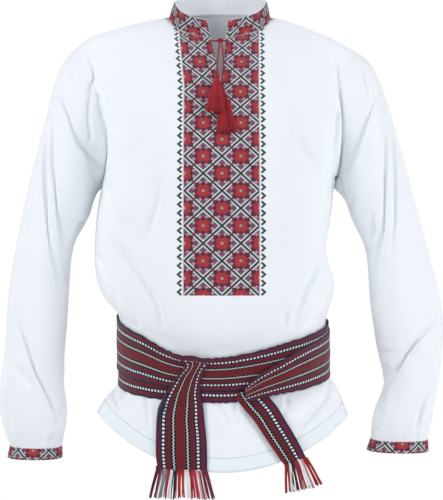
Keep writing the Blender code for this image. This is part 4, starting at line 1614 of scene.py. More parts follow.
BODY_PIECES = ("shirt_front", "shirt_back")
CREASES = (
    Crease(
        (
            (-215, -74), (-208, -90), (-213, -128),
            (-216, -170), (-213, -202), (-218, -211),
        ),
        4,
        -2,
    ),
    Crease(
        (
            (-208, -132), (-197, -138), (-190, -170),
            (-188, -208), (-188, -253), (-192, -269),
        ),
        4,
        -2.5,
    ),
    Crease(((-263, -135), (-248, -164), (-232, -205), (-216, -227), (-191, -256)), 5, -3.2),
    Crease(((-220, -221), (-210, -253), (-204, -272)), 5, -1.8),
    Crease(
        (
            (-272, -144), (-271, -183), (-271, -240), (-266, -288),
            (-261, -336), (-255, -400), (-247, -464),
        ),
        4.5,
        -3,
    ),
    Crease(
        (
            (-279, -176), (-283, -221), (-282, -272),
            (-279, -336), (-271, -400), (-261, -464),
        ),
        5,
        -3,
    ),
    Crease(((-235, -95), (-243, -108)), 5, -1.5),
    Crease(((-210, -339), (-226, -342), (-236, -368)), 5, -3),
    Crease(((188, -84), (189, -112), (196, -151), (198, -195), (196, -247)), 4, -2.2),
    Crease(((189, -160), (185, -176), (181, -240), (178, -285)), 4, -2.2),
    Crease(((222, -82), (230, -114), (234, -135)), 4, -1.6),
    Crease(((250, -132), (234, -176), (221, -215), (207, -253)), 5, -2.8),
    Crease(
        (
            (253, -122), (260, -195), (261, -240), (261, -288),
            (258, -352), (250, -400), (245, -464),
        ),
        4.5,
        -3,
    ),
    Crease(((261, -138), (266, -195), (266, -240), (263, -288)), 4, -1.6),
    Crease(((269, -160), (276, -215), (277, -272), (277, -336), (269, -400)), 5, -2.6),
    Crease(((184, -265), (193, -272), (200, -313)), 4, -1.8),
    Crease(((242, -320), (245, -352), (239, -384)), 4, -2),
    Crease(((213, -295), (208, -323)), 4, -1.4),
    Crease(((207, -349), (221, -362), (237, -387)), 4.5, -2.4),
    Crease(((-183, -283), (-166, -311), (-151, -334), (-135, -353)), 6, -2.4),
    Crease(((-97, -280), (-100, -307), (-110, -341), (-123, -373)), 9, -2.4),
    Crease(((-93, -232), (-116, -263)), 9, -1.6),
    Crease(((-124, -209), (-146, -240)), 9, -1.6),
    Crease(
        (
            (-186, -337), (-173, -363), (-147, -394),
            (-122, -431), (-101, -466), (-92, -505),
        ),
        5,
        -3,
    ),
    Crease(((-200, -392), (-183, -424), (-171, -448), (-167, -476)), 5, -2.8),
    Crease(((-151, -465), (-138, -482), (-130, -506)), 5, -2.2),
    Crease(((117, -186), (130, -223), (149, -256)), 10, -2.2),
    Crease(((156, -394), (146, -420), (130, -451), (110, -506)), 5, -2.8),
    Crease(((163, -457), (149, -481), (131, -506)), 5, -2.8),
    Crease(((100, -477), (97, -505)), 5, -1.6),
    Crease(((158, -405), (175, -427), (168, -452)), 4, -2),
    Crease(
        (
            (-324, -498), (-312, -530), (-297, -578),
            (-281, -611), (-268, -650), (-260, -675),
        ),
        5,
        -3.4,
    ),
    Crease(((-261, -676), (-274, -684), (-287, -692)), 4.5, -3),
    Crease(((-245, -628), (-261, -644), (-266, -656)), 5, -2.6),
    Crease(((-344, -513), (-347, -548), (-350, -581), (-344, -615), (-338, -669)), 4.5, -3),
    Crease(((-328, -570), (-301, -603)), 8, -1.8),
    Crease(
        (
            (347, -494), (324, -516), (304, -538), (287, -564),
            (276, -585), (264, -608), (248, -634),
        ),
        5,
        -3.6,
    ),
    Crease(((264, -608), (260, -634), (260, -670)), 4.5, -2.6),
    Crease(((255, -656), (249, -675)), 4.5, -2),
    Crease(((246, -538), (257, -546), (281, -548)), 7, -2),
    Crease(((247, -568), (263, -572), (270, -578), (263, -587)), 5, -3.6),
    Crease(((338, -588), (330, -616), (320, -636), (311, -668)), 5, -2.4),
    Crease(((-177, -614), (-167, -630), (-166, -637)), 4.5, -2.2),
    Crease(((-163, -604), (-157, -613), (-161, -620)), 4.5, -1.6),
    Crease(((-120, -613), (-117, -639), (-114, -665)), 4.5, -2),
    Crease(((-7, -624), (2, -640), (10, -658)), 5, -1.5),
    Crease(((21, -624), (21, -642), (28, -661)), 5, -1.4),
    Crease(((102, -613), (103, -633)), 4.5, -1.4),
    Crease(((93, -639), (106, -631), (121, -639)), 4.5, -1.4),
    Crease(((119, -669), (133, -654), (151, -636), (166, -618), (177, -595)), 6, -3.2),
    Crease(((160, -694), (181, -672), (195, -654)), 4.5, -2),
    # the hidden side
    Crease(((-205, -120), (-196, -180), (-188, -250)), 4, -2.2, 1),
    Crease(((196, -124), (194, -190), (184, -255)), 4, -2.2, 1),
    Crease(((-176, -280), (-150, -326), (-120, -372), (-96, -430)), 5, -2.8, 1),
    Crease(((170, -280), (146, -330), (112, -384), (92, -440)), 5, -2.8, 1),
    Crease(((-190, -360), (-168, -410), (-150, -470)), 5, -2.4, 1),
    Crease(((160, -350), (148, -410), (134, -470)), 5, -2.4, 1),
    Crease(((-60, -90), (-72, -150), (-90, -220)), 9, -1.6, 1),
    Crease(((70, -90), (80, -150), (92, -220)), 9, -1.6, 1),
    Crease(((-14, -300), (-18, -370), (-14, -450)), 7, -1.6, 1),
    Crease(((-70, -380), (-66, -430), (-68, -480)), 5, -2.0, 1),
    Crease(((52, -380), (50, -430), (54, -480)), 5, -2.0, 1),
    Crease(((-262, -140), (-240, -200), (-204, -268)), 5, -2.8, 1),
    Crease(((250, -140), (230, -196), (200, -262)), 5, -2.8, 1),
    Crease(((-276, -190), (-272, -300), (-258, -420)), 5, -2.6, 1),
    Crease(((270, -200), (274, -310), (262, -430)), 5, -2.6, 1),
    Crease(((-338, -440), (-306, -500), (-270, -570), (-252, -620)), 5, -3.0, 1),
    Crease(((346, -440), (312, -510), (276, -580), (256, -630)), 5, -3.0, 1),
    Crease(((-348, -560), (-318, -620), (-290, -672)), 5, -2.6, 1),
    Crease(((350, -560), (318, -610), (286, -662)), 5, -2.6, 1),
    Crease(((-120, -600), (-124, -630), (-132, -660)), 4.5, -1.8, 1),
    Crease(((20, -600), (24, -632), (20, -664)), 4.5, -1.8, 1),
    Crease(((110, -600), (120, -628), (134, -652)), 4.5, -1.8, 1),
)


@dataclass(frozen=True)
class Panel:
    """One cut panel of the shirt, its flat cut in metres and how it is held."""

    node: str
    name: str
    flat: tuple[float, float]
    area: float
    rests_on: tuple[str, ...] = ()


@dataclass
class SashEdges:
    """How high the sash's edges lie round the waist, by the angle from the front."""

    angles: np.ndarray
    tops: np.ndarray
    lows: np.ndarray
    fade: float = 5.0
    upper_reach: float = 22.0
    lower_reach: float = 26.0
    upper_depth: float = 0.9
    lower_depth: float = 1.5

    STEP = 4.0

    @classmethod
    def of(cls, sheets: Sequence[bpy.types.Object]) -> "SashEdges":
        """Read the edges off the turns.

        Args:
            sheets: The turns' sheets.

        Returns:
            The edges.
        """
        spots = np.array([vert.co for sheet in sheets for vert in sheet.data.vertices])
        angles = np.degrees(np.arctan2(spots[:, 0], -spots[:, 1]))
        centres = np.arange(-180, 181, cls.STEP)
        tops, lows = [], []
        for centre in centres:
            near = np.abs((angles - centre + 180) % 360 - 180) < cls.STEP
            tops.append(spots[near, 2].max())
            lows.append(spots[near, 2].min())
        return cls(centres, np.array(tops), np.array(lows))

    def gathers(self, spots: np.ndarray) -> np.ndarray:
        """Gather the cloth in small pleats over and under the sash.

        Args:
            spots: The cloth's points.

        Returns:
            How far each of them moves out.
        """
        angles = np.degrees(np.arctan2(spots[:, 0], -spots[:, 1]))
        top = np.interp(angles, self.angles, self.tops)
        low = np.interp(angles, self.angles, self.lows)
        turn = np.radians(angles)
        above = np.clip(spots[:, 2] - top, 0, None)
        below = np.clip(low - spots[:, 2], 0, None)
        pleats = 0.55 * np.sin(31 * turn + 2 * np.sin(3 * turn)) + 0.45 * np.sin(47 * turn + 1.7)
        patchy = 0.55 + 0.45 * np.sin(5 * turn + 0.6)
        upper = self.fading(above, self.upper_reach)
        lower = self.fading(below, self.lower_reach)
        return pleats * patchy * (self.upper_depth * upper + self.lower_depth * lower) * MM

    def fading(self, away: np.ndarray, reach: float) -> np.ndarray:
        """How strong pleats are away from the sash: none at its edge, then less and less."""
        near = np.exp(-away / (reach * MM))
        return (away > 0) * near * (1 - np.exp(-away / (self.fade * MM)))


@dataclass
class Shirt:
    """The body and sleeves of linen, with their creases, gathers, seams and hem."""

    sash: SashEdges
    linen: bpy.types.Material
    wall: float = 0.7
    seam_depth: float = 0.45
    seam_width: float = 2.6
    allowance: float = 3.5
    allowance_sink: float = 0.9
    pucker: float = 0.45
    pucker_pitch: float = 15.0
    hem_rise: float = 22.0
    hem_depth: float = 1.1
    hem_width: float = 2.2
    crease_gain: float = 2.5
    sew_reach: float = 28.0
    gathers: int = 27
    gather_depth: float = 1.1
    hem_top: float = -648.0
    cuff_top: float = -600.0
    body_round: float = 0.165
    sleeve_round: float = 0.055
    slit_middle: float = -5.0
    slit_half: float = 14.0
    slit_end: float = -126.0
    seam_points: int = 400
    BODY_NODES = ("front", "back")

    PANELS = (
        Panel("front", "shirt_front", (0.62, 0.74), 0.40),
        Panel("back", "shirt_back", (0.60, 0.72), 0.40),
        Panel("sleeve_left", "shirt_sleeve_left", (0.50, 0.56), 0.19, BODY_PIECES),
        Panel("sleeve_right", "shirt_sleeve_right", (0.50, 0.56), 0.19, BODY_PIECES),
    )

    def build(self) -> dict[str, Surface]:
        """Model the four panels.

        Returns:
            Each panel's outside by its node's name.
        """
        found = {}
        seams: list[Vector] = []
        for panel in self.PANELS:
            sheet = outer_sheet(panel.node, 3)
            self.press(sheet, panel.node)
            if panel.rests_on:
                self.sew_in(sheet, seams)
            else:
                seams += self.edge_above(sheet, self.hem_top)
            found[panel.node] = Surface(sheet)
            self.mark_hem(sheet, panel.node)
            skip = self.unsewn(panel.node)
            seam_allowance(sheet, self.allowance * MM, self.allowance_sink * MM, skip)
            self.lay_weave(sheet, panel.node)
            sheet.name = sheet.data.name = panel.name
            area = sum(face.area for face in sheet.data.polygons)
            give_thickness(sheet, self.wall * MM)
            finished(sheet, self.linen, Slot.LINEN, panel.node)
            rests_on = list(panel.rests_on)
            log.info("%s: %.3f square metres of cloth", panel.name, area)
        return found

    def edge_above(self, sheet: bpy.types.Object, height: float) -> list[Vector]:
        """Read the part of a sheet's edges that lies above a height.

        Args:
            sheet: The sheet.
            height: The height, in millimetres.

        Returns:
            Points along it.
        """
        chains = border_chains(sheet)
        points = [point for chain in chains for point in evenly(chain, self.seam_points)]
        return [point for point in points if point.z > height * MM]

    def sew_in(self, sheet: bpy.types.Object, seams: Sequence[Vector]) -> None:
        """Draw a sleeve's upper edge to the armhole, and the cloth next to it by less and less.

        Args:
            sheet: The sleeve's sheet.
            seams: Points along the body's edges.
        """
        body = tree_of(seams)
        ring = self.edge_above(sheet, self.cuff_top)
        edge = tree_of(ring)
        moves = [body.find(point)[0] - point for point in ring]
        for vert in sheet.data.vertices:
            _, number, away = edge.find(vert.co)
            if away < self.sew_reach * MM:
                vert.co += moves[number] * (1 - ramp(away / (self.sew_reach * MM)))

    def mark_hem(self, sheet: bpy.types.Object, node: str) -> None:
        """Write how near each point is to the hem: 1 at its fold, a half at its stitches.

        Args:
            sheet: The panel's sheet.
            node: The panel's node.
        """
        if node not in self.BODY_NODES:
            return
        tree = tree_of(read_edge(lowest_of(border_chains(sheet))))
        away = [tree.find(vert.co)[2] for vert in sheet.data.vertices]
        near = [max(0.0, 1 - distance / (2 * self.hem_rise * MM)) for distance in away]
        sheet.data.attributes.new("hem", "FLOAT", "POINT").data.foreach_set("value", near)

    def unsewn(self, node: str) -> Callable[[Vector], bool]:
        """Tell which edges of a panel have no allowance below another panel.

        Args:
            node: The panel's node.

        Returns:
            Says of a place whether the edge there is free.
        """

        def on_body(spot: Vector) -> bool:
            """Tell the hem and the front's slit from the seams.

            Args:
                spot: The place.

            Returns:
                Whether the edge there is free.
            """
            beside = abs(spot.x - self.slit_middle * MM) < self.slit_half * MM
            above = spot.z > self.slit_end * MM
            in_slit = node == "front" and beside and above and spot.y < 0
            return spot.z < self.hem_top * MM or in_slit

        return on_body if node in self.BODY_NODES else lambda spot: False

    def press(self, sheet: bpy.types.Object, node: str) -> None:
        """Move a sheet's points by its creases, gathers, seams and hem.

        Args:
            sheet: The panel's sheet.
            node: The panel's node.
        """
        count = len(sheet.data.vertices)
        flat = np.empty(count * 3, np.float32)
        sheet.data.vertices.foreach_get("co", flat)
        spots = flat.reshape(-1, 3).astype(float)
        sheet.data.vertices.foreach_get("normal", flat)
        normals = flat.reshape(-1, 3).astype(float)
        offset = self.creased(spots, normals)
        body = node in self.BODY_NODES
        if body:
            offset += self.sash.gathers(spots)
        offset += self.seamed(sheet, spots, body)
        spots += normals * offset[:, None]
        sheet.data.vertices.foreach_set("co", spots.astype(np.float32).ravel())
        sheet.data.update()

    def creased(self, spots: np.ndarray, normals: np.ndarray) -> np.ndarray:
        """Press in all creases, each a trough between two low ridges.

        Args:
            spots: The cloth's points.
            normals: Which way each of them faces.

        Returns:
            How far each of them moves out.
        """
        plane = spots[:, [0, 2]] / MM
        offset = np.zeros(len(spots))
        for crease in CREASES:
            facing = np.clip((normals[:, 1] * crease.side + 0.05) / 0.3, 0, 1)
            line = np.array(smooth_flat(crease.line, 5))
            low, high = line.min(0) - 4 * crease.width, line.max(0) + 4 * crease.width
            near = (facing > 0) & ((plane > low) & (plane < high)).all(1)
            if not near.any():
                continue
            points = plane[near]
            starts, spans = line[:-1], np.diff(line, axis=0)
            rel = points[:, None] - starts[None]
            share = np.clip((rel * spans).sum(2) / (spans**2).sum(1), 0, 1)
            away = np.linalg.norm(rel - share[:, :, None] * spans, axis=2)
            which = away.argmin(1)
            rows = np.arange(len(points))
            along = (which + share[rows, which]) / len(spans)
            reach = (away[rows, which] / crease.width) ** 2
            strength = np.sin(np.pi * np.clip(along * 0.94 + 0.03, 0, 1)) ** 0.6
            shape = (1 - 0.75 * reach) * np.exp(-0.8 * reach)
            offset[near] += crease.depth * strength * shape * facing[near]
        return offset * self.crease_gain * MM

    def seamed(self, sheet: bpy.types.Object, spots: np.ndarray, body: bool) -> np.ndarray:
        """Sink the seams and the hem's stitches, and gather a sleeve over its cuff.

        Args:
            sheet: The panel's sheet.
            spots: Its points.
            body: Whether it is the front or the back.

        Returns:
            How far each point moves out.
        """
        offset = np.zeros(len(spots))
        chains = border_chains(sheet)
        lowest = lowest_of(chains)
        for chain in chains:
            line = read_edge(chain)
            tree = tree_of(line)
            found = [tree.find(spot) for spot in spots]
            away = np.array([f[2] for f in found]) / MM
            run = np.array([f[1] for f in found]) * length_of(line) / (len(line) - 1) / MM
            if chain is lowest and body:
                offset -= self.hem_depth * np.exp(-(((away - self.hem_rise) / self.hem_width) ** 2))
                offset += 0.5 * np.exp(-((away / 2.5) ** 2))
                continue
            if chain is lowest:
                turn = 2 * np.pi * run / (length_of(line) / MM)
                wave = np.sin(self.gathers * turn + 2.2 * np.sin(4 * turn))
                wave = wave * (0.6 + 0.4 * np.sin(7 * turn + 1))
                near, rise = np.exp(-away / 20), 1 - np.exp(-((away / 3) ** 2))
                offset += self.gather_depth * wave * near * rise
                continue
            offset -= self.seam_depth * np.exp(-((away / self.seam_width) ** 2))
            small = np.sin(2 * np.pi * run / self.pucker_pitch + 1.5 * np.sin(run / 31))
            near, rise = np.exp(-((away / 9) ** 2)), 1 - np.exp(-((away / 3) ** 2))
            offset += self.pucker * small * near * rise
        return offset * MM

    def lay_weave(self, sheet: bpy.types.Object, node: str) -> None:
        """Write a UV map in metres for the weave.

        Args:
            sheet: The panel's sheet.
            node: The panel's node.
        """

        def on_body(spot: Vector) -> tuple[float, float]:
            """Round the body and down it."""
            facing = -1 if node == "front" else 1
            return math.atan2(spot.x, facing * spot.y) * self.body_round, spot.z

        def on_sleeve(spot: Vector) -> tuple[float, float]:
            """Measure round the arm and down it.

            Args:
                spot: The place.

            Returns:
                How far round and how far down it is.
            """
            fall = spot.z / -0.7
            middle = (-0.235 - 0.07 * fall) if node.endswith("left") else (0.215 + 0.08 * fall)
            return math.atan2(spot.y + 0.01, spot.x - middle) * self.sleeve_round, spot.z

        write_uv(sheet, on_body if node in self.BODY_NODES else on_sleeve)


def smooth_flat(line: Sequence[tuple[float, float]], steps: int) -> list[tuple[float, float]]:
    """Draw a smooth line through points of a plane.

    Args:
        line: The points.
        steps: How many pieces lie between two of them.

    Returns:
        The line's points.
    """
    keys = list(range(len(line)))
    shares = [number / steps for number in range(steps * (len(line) - 1) + 1)]
    columns = [[smooth(keys, values, share) for share in shares] for values in zip(*line)]
    return list(zip(*columns))


# ------------------------------------------------------------------ the stitched pattern


@dataclass(frozen=True)
class Lattice:
    """The counted pattern: a rosette in each diamond of a lattice, and arrowheads down each side.

    Places are counted in stitches. A diamond is `half` stitches from its middle to each corner.
    """

    half: int = 18
    field: int = 36
    arrow_pitch: int = 9

    def from_rosette(self, x: int, y: int) -> tuple[int, int]:
        """Measure how far a stitch lies from the middle of its own diamond.

        Args:
            x: The stitch's column.
            y: Its row.

        Returns:
            The stitches across and down, without sign.
        """
        whole = 2 * self.half
        across = abs((x + whole) % whole - self.half)
        down = abs((y + self.half) % whole - self.half)
        if across + down > self.half:
            return self.half - across, self.half - down
        return across, down

    def stitch(self, x: int, y: int) -> Thread:
        """Choose the thread of one stitch of the lattice field.

        Args:
            x: The stitch's column.
            y: Its row.

        Returns:
            The thread.
        """
        across, down = self.from_rosette(x, y)
        ring = across + down
        if ring >= 15:
            return self.line(across, down, ring)
        long, short = max(across, down), min(across, down)
        if ring <= 2:
            return self.centre(ring)
        if long <= 6 and not self.notched(long, short):
            return Thread.ORANGE if ring in (3, 4, 5) and short >= 1 else Thread.RED
        dot = abs(long - 9) + abs(short - 3)
        if dot == 1:
            return Thread.DOT
        if dot == 0:
            return Thread.MAROON
        corner = abs(long - 11) + short
        if corner <= 2:
            return Thread.PURPLE
        if corner == 3 or ring == 14 or long <= 7:
            return Thread.OUTLINE
        return Thread.MAROON

    def line(self, across: int, down: int, ring: int) -> Thread:
        """The lattice's dark line between two white ones, tied in the middle of each side."""
        if abs(across - down) <= 1:
            return Thread.MAROON
        return Thread.GREEN if ring >= 17 else Thread.WHITE

    def centre(self, ring: int) -> Thread:
        """The rosette's eye."""
        return (Thread.OUTLINE, Thread.DOT, Thread.OUTLINE)[ring]

    def notched(self, long: int, short: int) -> bool:
        """Whether a place lies in a notch between two petals."""
        return (long == 6 and short in (0, 1, 4, 5, 6)) or (long == 5 and short == 5)

    def panel(self, x: int, y: int) -> Thread | None:
        """Choose the thread of one stitch of the front panel, with its edges.

        Args:
            x: The stitch's column, from the middle.
            y: Its row.

        Returns:
            The thread, or None for bare cloth.
        """
        away = abs(x) if x >= 0 else abs(x + 1)
        if away < self.field:
            return self.stitch(x, y)
        if away == self.field:
            return Thread.EDGE
        out = away - self.field - 2
        along = abs(y % self.arrow_pitch - self.arrow_pitch // 2)
        if not 0 <= out <= 4 or along > 4:
            return None
        return Thread.GREEN if along <= 3 and 2 <= out + along <= 4 else None


@dataclass
class Stitching:
    """Crossed stitches worked over a grid, each raised in its middle."""

    name: str
    columns: int
    rows: int
    rise: float = 0.4
    seat: float = 0.12
    root: float = 0.55

    def work(
        self, sheet: bpy.types.Object, thread_of: Callable[[int, int], Thread | None]
    ) -> None:
        """Turn a sheet of cells into stitches.

        Args:
            sheet: A grid whose UV map goes from 0 to 1 over all columns and rows.
            thread_of: The thread of each column and row, or None for bare cloth.
        """
        random = Random(self.name)
        only(sheet)
        bpy.ops.object.mode_set(mode="EDIT")
        bpy.ops.mesh.select_mode(type="FACE")
        mesh = bmesh.from_edit_mesh(sheet.data)
        uv = mesh.loops.layers.uv.active
        mesh.faces.index_update()
        bare = {face.index for face in mesh.faces if thread_of(*self.cell(face, uv)) is None}
        if choose_faces(sheet, lambda face: face.index in bare):
            bpy.ops.mesh.delete(type="FACE")
        bpy.ops.mesh.select_all(action="SELECT")
        bpy.ops.mesh.poke(offset=self.rise * MM)
        bpy.ops.object.mode_set(mode="OBJECT")
        self.root_edges(sheet)
        uv_now = sheet.data.uv_layers.active.data
        tones: dict[tuple[int, int], Colour] = {}

        def colour_of(face: bpy.types.MeshPolygon) -> Colour:
            """Dye a stitch all over alike, and its neighbours a little lighter or darker.

            Args:
                face: A face of the stitch.

            Returns:
                Its colour.
            """
            corners = [uv_now[loop].uv for loop in face.loop_indices]
            middle = sum(corners, Vector((0, 0))) / len(corners)
            spot = (int(middle.x * self.columns), int(middle.y * self.rows))
            if spot not in tones:
                thread = thread_of(*spot) or Thread.OUTLINE
                tones[spot] = shaded(thread.value, random.uniform(0.86, 1.12))
            return tones[spot]

        dye(sheet, colour_of)

    def cell(self, face: bmesh.types.BMFace, uv: bmesh.types.BMLayerItem) -> tuple[int, int]:
        """The column and row of a face."""
        middle = sum((loop[uv].uv for loop in face.loops), Vector((0, 0))) / len(face.loops)
        return int(middle.x * self.columns), int(middle.y * self.rows)

    def root_edges(self, sheet: bpy.types.Object) -> None:
        """Carry the outer edges of the stitches down into the cloth.

        Args:
            sheet: The stitches.
        """
        mesh = bmesh.new()
        mesh.from_mesh(sheet.data)
        mesh.normal_update()
        edges = [edge for edge in mesh.edges if edge.is_boundary]
        verts = list({vert: None for edge in edges for vert in edge.verts})
        normals = [vert.normal.copy() for vert in verts]
        tree = tree_of([vert.co for vert in verts])
        made = bmesh.ops.extrude_edge_only(mesh, edges=edges)["geom"]
        for vert in (item for item in made if isinstance(item, bmesh.types.BMVert)):
            vert.co -= normals[tree.find(vert.co)[1]] * self.root * MM
        mesh.to_mesh(sheet.data)
        mesh.free()


@dataclass
class FrontField:
    """The embroidered panel down the front, whose upper half is open along the slit."""

    front: Surface
    half_columns: int = 44
    bottom: float = -454.0
    top: float = -17.0
    slit_end: float = -124.0
    stitch: float = 1.503
    upper_stretch: float = 0.075
    first_row: int = 1
    edge_low: float = 71.0
    edge_left: float = -78.0
    edge_right: float = 71.4
    slit_left: float = -17.5
    slit_right: float = 7.5
    neck_left: float = -88.0
    neck_right: float = 82.0
    neck_drop: float = -41.0
    slit_angle: float = 78.5
    slit_hem: float = 0.4
    read_at: float = -36.0
    slope_starts: float = -122.0
    rows_over: int = 12

    def build(self, lattice: Lattice) -> None:
        """Work the whole panel.

        Args:
            lattice: Its pattern.
        """
        heights = self.heights()
        rows = len(heights) - 1
        stitching = Stitching("front_stitches", 2 * self.half_columns, rows)
        halves = []
        for side in (-1, 1):
            place = self.place_of(side, heights, stitching.seat)
            half = laid_grid(f"half_{side}", self.half_columns, rows, place)
            layer = half.data.uv_layers.active.data
            for loop in layer:
                loop.uv.x = loop.uv.x / 2 + (0 if side < 0 else 0.5)
            halves.append(half)
        sheet = join(halves, "front_stitches")
        merge(sheet, 0.01)
        turn_out(sheet)

        def thread_of(column: int, row: int) -> Thread | None:
            """Choose the thread of a cell.

            Args:
                column: The cell's column.
                row: The cell's row.

            Returns:
                Its thread, or None above the neckline.
            """
            across = column - self.half_columns
            if self.over_neck(across, heights[min(row, rows - 1)]):
                return None
            return lattice.panel(across, row + self.first_row)

        stitching.work(sheet, thread_of)
        finish = StitchFinish("front stitches", stitching.columns, stitching.rows).build()
        finished(sheet, finish, Slot.EMBROIDERY, "front_embroidery")

    def heights(self) -> list[float]:
        """Space the rows a stitch apart along the cloth.

        Returns:
            The height of each row's edge, in millimetres.
        """
        steps = 900
        line = []
        for step in range(steps + 1):
            z = mix(self.bottom, self.top, step / steps) * MM
            spot = self.front.seen_from_front(self.read_at * MM, z)
            if spot is None:
                spot = self.front.snapped(Vector((self.read_at * MM, -60 * MM, z)))
            line.append(Vector((spot.y, z)))
        run = np.concatenate(([0], np.cumsum([(b - a).length for a, b in zip(line, line[1:])])))
        count = int(run[-1] / (self.stitch * MM)) + self.rows_over
        wanted = np.arange(count + 1) * self.stitch * MM
        slope = float(np.interp(self.slope_starts * MM, [p.y for p in line], run))
        wanted += np.clip(wanted - slope, 0, None) * self.upper_stretch
        levels = np.interp(wanted, run, [p.y for p in line])
        over = np.clip(wanted - run[-1], 0, None) * 0.7
        return [float(level + extra) / MM for level, extra in zip(levels, over)]

    def edges(self, side: int, z: float) -> tuple[float, float]:
        """Find where a row ends on one side.

        Args:
            side: -1 on the left, 1 on the right.
            z: The row's height, in millimetres.

        Returns:
            Its outer end, and its end at the slit or the middle.
        """
        opening = max(0.0, min((z - self.slit_end) / (self.neck_drop - self.slit_end), 1.25))
        outer = mix(self.edge_low, abs(self.edge_left if side < 0 else self.edge_right), opening)
        edge = self.slit_left + self.slit_hem if side < 0 else self.slit_right - self.slit_hem
        return side * outer, edge * min(opening, 1.0)

    def place_of(self, side: int, heights: Sequence[float], seat: float) -> Place:
        """Tell how one half's grid is laid on the front.

        Args:
            side: -1 on the left, 1 on the right.
            heights: The height of each row's edge.
            seat: How far the stitches stand off the cloth, in millimetres.

        Returns:
            Gives the point for a share across and a share up.
        """

        def place(u: float, v: float) -> Vector:
            """Find one point.

            Args:
                u: The share across.
                v: The share up.

            Returns:
                The point.
            """
            z = smooth_read(heights, v)
            outer, inner = self.edges(side, z)
            x = mix(outer, inner, u) if side < 0 else mix(inner, outer, u)
            spot = self.front.seen_from_front(x * MM, z * MM, seat * MM)
            if spot is None:
                near = self.front.snapped(Vector((x * MM, -70 * MM, z * MM)))
                spot = self.front.snapped(Vector((x * MM, near.y, z * MM)), seat * MM)
            return spot

        return place

    def over_neck(self, across: int, z: float) -> bool:
        """Tell whether a stitch lies above the neckline, where the collar covers it.

        Args:
            across: Its column, from the middle.
            z: Its height, in millimetres.

        Returns:
            Whether it does.
        """
        side = -1 if across < 0 else 1
        outer, inner = self.edges(side, z)
        share = (-across if side < 0 else across) / self.half_columns
        x = mix(inner, outer, share)
        if side < 0:
            angle = math.acos(max(min(x / self.neck_left, 1), 0))
        else:
            last = 1 - math.cos(math.radians(self.slit_angle))
            fall = (self.neck_right - x) / (self.neck_right - self.slit_right) * last
            angle = math.acos(max(min(1 - fall, 1), 0))
        return z > self.neck_drop * math.sin(angle) + 0.9


def smooth_read(values: Sequence[float], share: float) -> float:
    """Read a list between its items.

    Args:
        values: The list.
        share: How far along it is read, from 0 to 1.

    Returns:
        The value there.
    """
    place = min(max(share, 0.0), 1.0) * (len(values) - 1)
    left = min(int(place + 1e-6), len(values) - 2)
    return mix(values[left], values[left + 1], place - left)


@dataclass
class Band:
    """A stitched band: the collar or a cuff, of linen with a strip of the lattice outside."""

    node: str
    name: str
    flat: tuple[float, float]
    columns: int
    rows: int
    first_row: int
    closed: bool
    rests_on: tuple[str, ...]
    overlap: float = 0.0
    first_column: int = 0
    wall: float = 2.0
    turn: float = 0.08

    def build(self, lattice: Lattice, linen: bpy.types.Material) -> None:
        """Model the band and work its stitches.

        Args:
            lattice: The stitches' pattern.
            linen: The band's finish.
        """
        sheet = outer_sheet(self.node, 2)
        box_low, box_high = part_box(self.node)
        heart = (box_low + box_high) / 2 if self.closed else None
        grid = self.stitches(sheet, heart, lattice)
        middle = heart.x if heart else 0.0
        write_uv(sheet, lambda spot: (math.atan2(spot.x - middle, spot.y) * self.turn, spot.z))
        sheet.name = sheet.data.name = self.name
        give_thickness(sheet, self.wall * MM)
        finished(sheet, linen, Slot.LINEN, self.node)
        rests_on = list(self.rests_on)

    def stitches(
        self, sheet: bpy.types.Object, heart: Vector | None, lattice: Lattice
    ) -> bpy.types.Object:
        """Work the band's stitches over its outside.

        Args:
            sheet: The band's outside.
            heart: The middle of a closed band.
            lattice: The pattern.

        Returns:
            The stitches.
        """
        surface = Surface(sheet)
        low, high = self.borders(sheet)
        stitching = Stitching(self.name + "_stitches", self.columns, self.rows)

        def place(u: float, v: float) -> Vector:
            """Find the point for a share round the band and a share up it.

            Args:
                u: The share round.
                v: The share up.

            Returns:
                The point.
            """
            bottom, top = along(low, u), along(high, u)
            spot = surface.snapped(mix(bottom, top, 0.01 + 0.97 * v), stitching.seat * MM)
            return spot + (bottom - top).normalized() * self.overlap * MM * max(0.0, 1 - 8 * v)

        def thread_of(column: int, row: int) -> Thread:
            """The thread of a cell."""
            return lattice.stitch(column + self.first_column, row + self.first_row)

        grid = laid_grid(stitching.name, self.columns, self.rows, place)
        if self.closed:
            merge(grid, 0.05)
        turn_out(grid, heart)
        stitching.work(grid, thread_of)
        finish = StitchFinish(self.name + " stitches", self.columns, self.rows).build()
        return finished(grid, finish, Slot.EMBROIDERY)

    def borders(self, sheet: bpy.types.Object) -> tuple[list[Vector], list[Vector]]:
        """Find the band's edges, from the same end and the same way round.

        Args:
            sheet: The band's outside.

        Returns:
            Points evenly along its lower and its upper edge.
        """
        low, high = low_and_high(sheet)
        if self.closed:
            low, high = self.from_back(low[:-1]), self.from_back(high[:-1])
        elif low[0].x > low[-1].x:
            low = low[::-1]
        if not self.closed and high[0].x > high[-1].x:
            high = high[::-1]
        return evenly(low, 240), evenly(high, 240)

    def from_back(self, ring: list[Vector]) -> list[Vector]:
        """Start a ring at the back, and turn it the same way round as the other ring.

        Args:
            ring: Its points.

        Returns:
            Its points in their new order, with the first one again at the end.
        """
        start = max(range(len(ring)), key=lambda n: ring[n].y)
        turned = ring[start:] + ring[:start]
        quarter = turned[len(turned) // 4]
        if quarter.x > turned[0].x:
            turned = [turned[0], *reversed(turned[1:])]
        return [*turned, turned[0]]


def along(line: Sequence[Vector], share: float) -> Vector:
    """Find the point of an evenly spaced line at a share of its length.

    Args:
        line: The line.
        share: The share, from 0 to 1.

    Returns:
        The point.
    """
    place = min(max(share, 0.0), 1.0) * (len(line) - 1)
    left = min(int(place), len(line) - 2)
    return mix(line[left], line[left + 1], place - left)


# ------------------------------------------------------------------ the sash


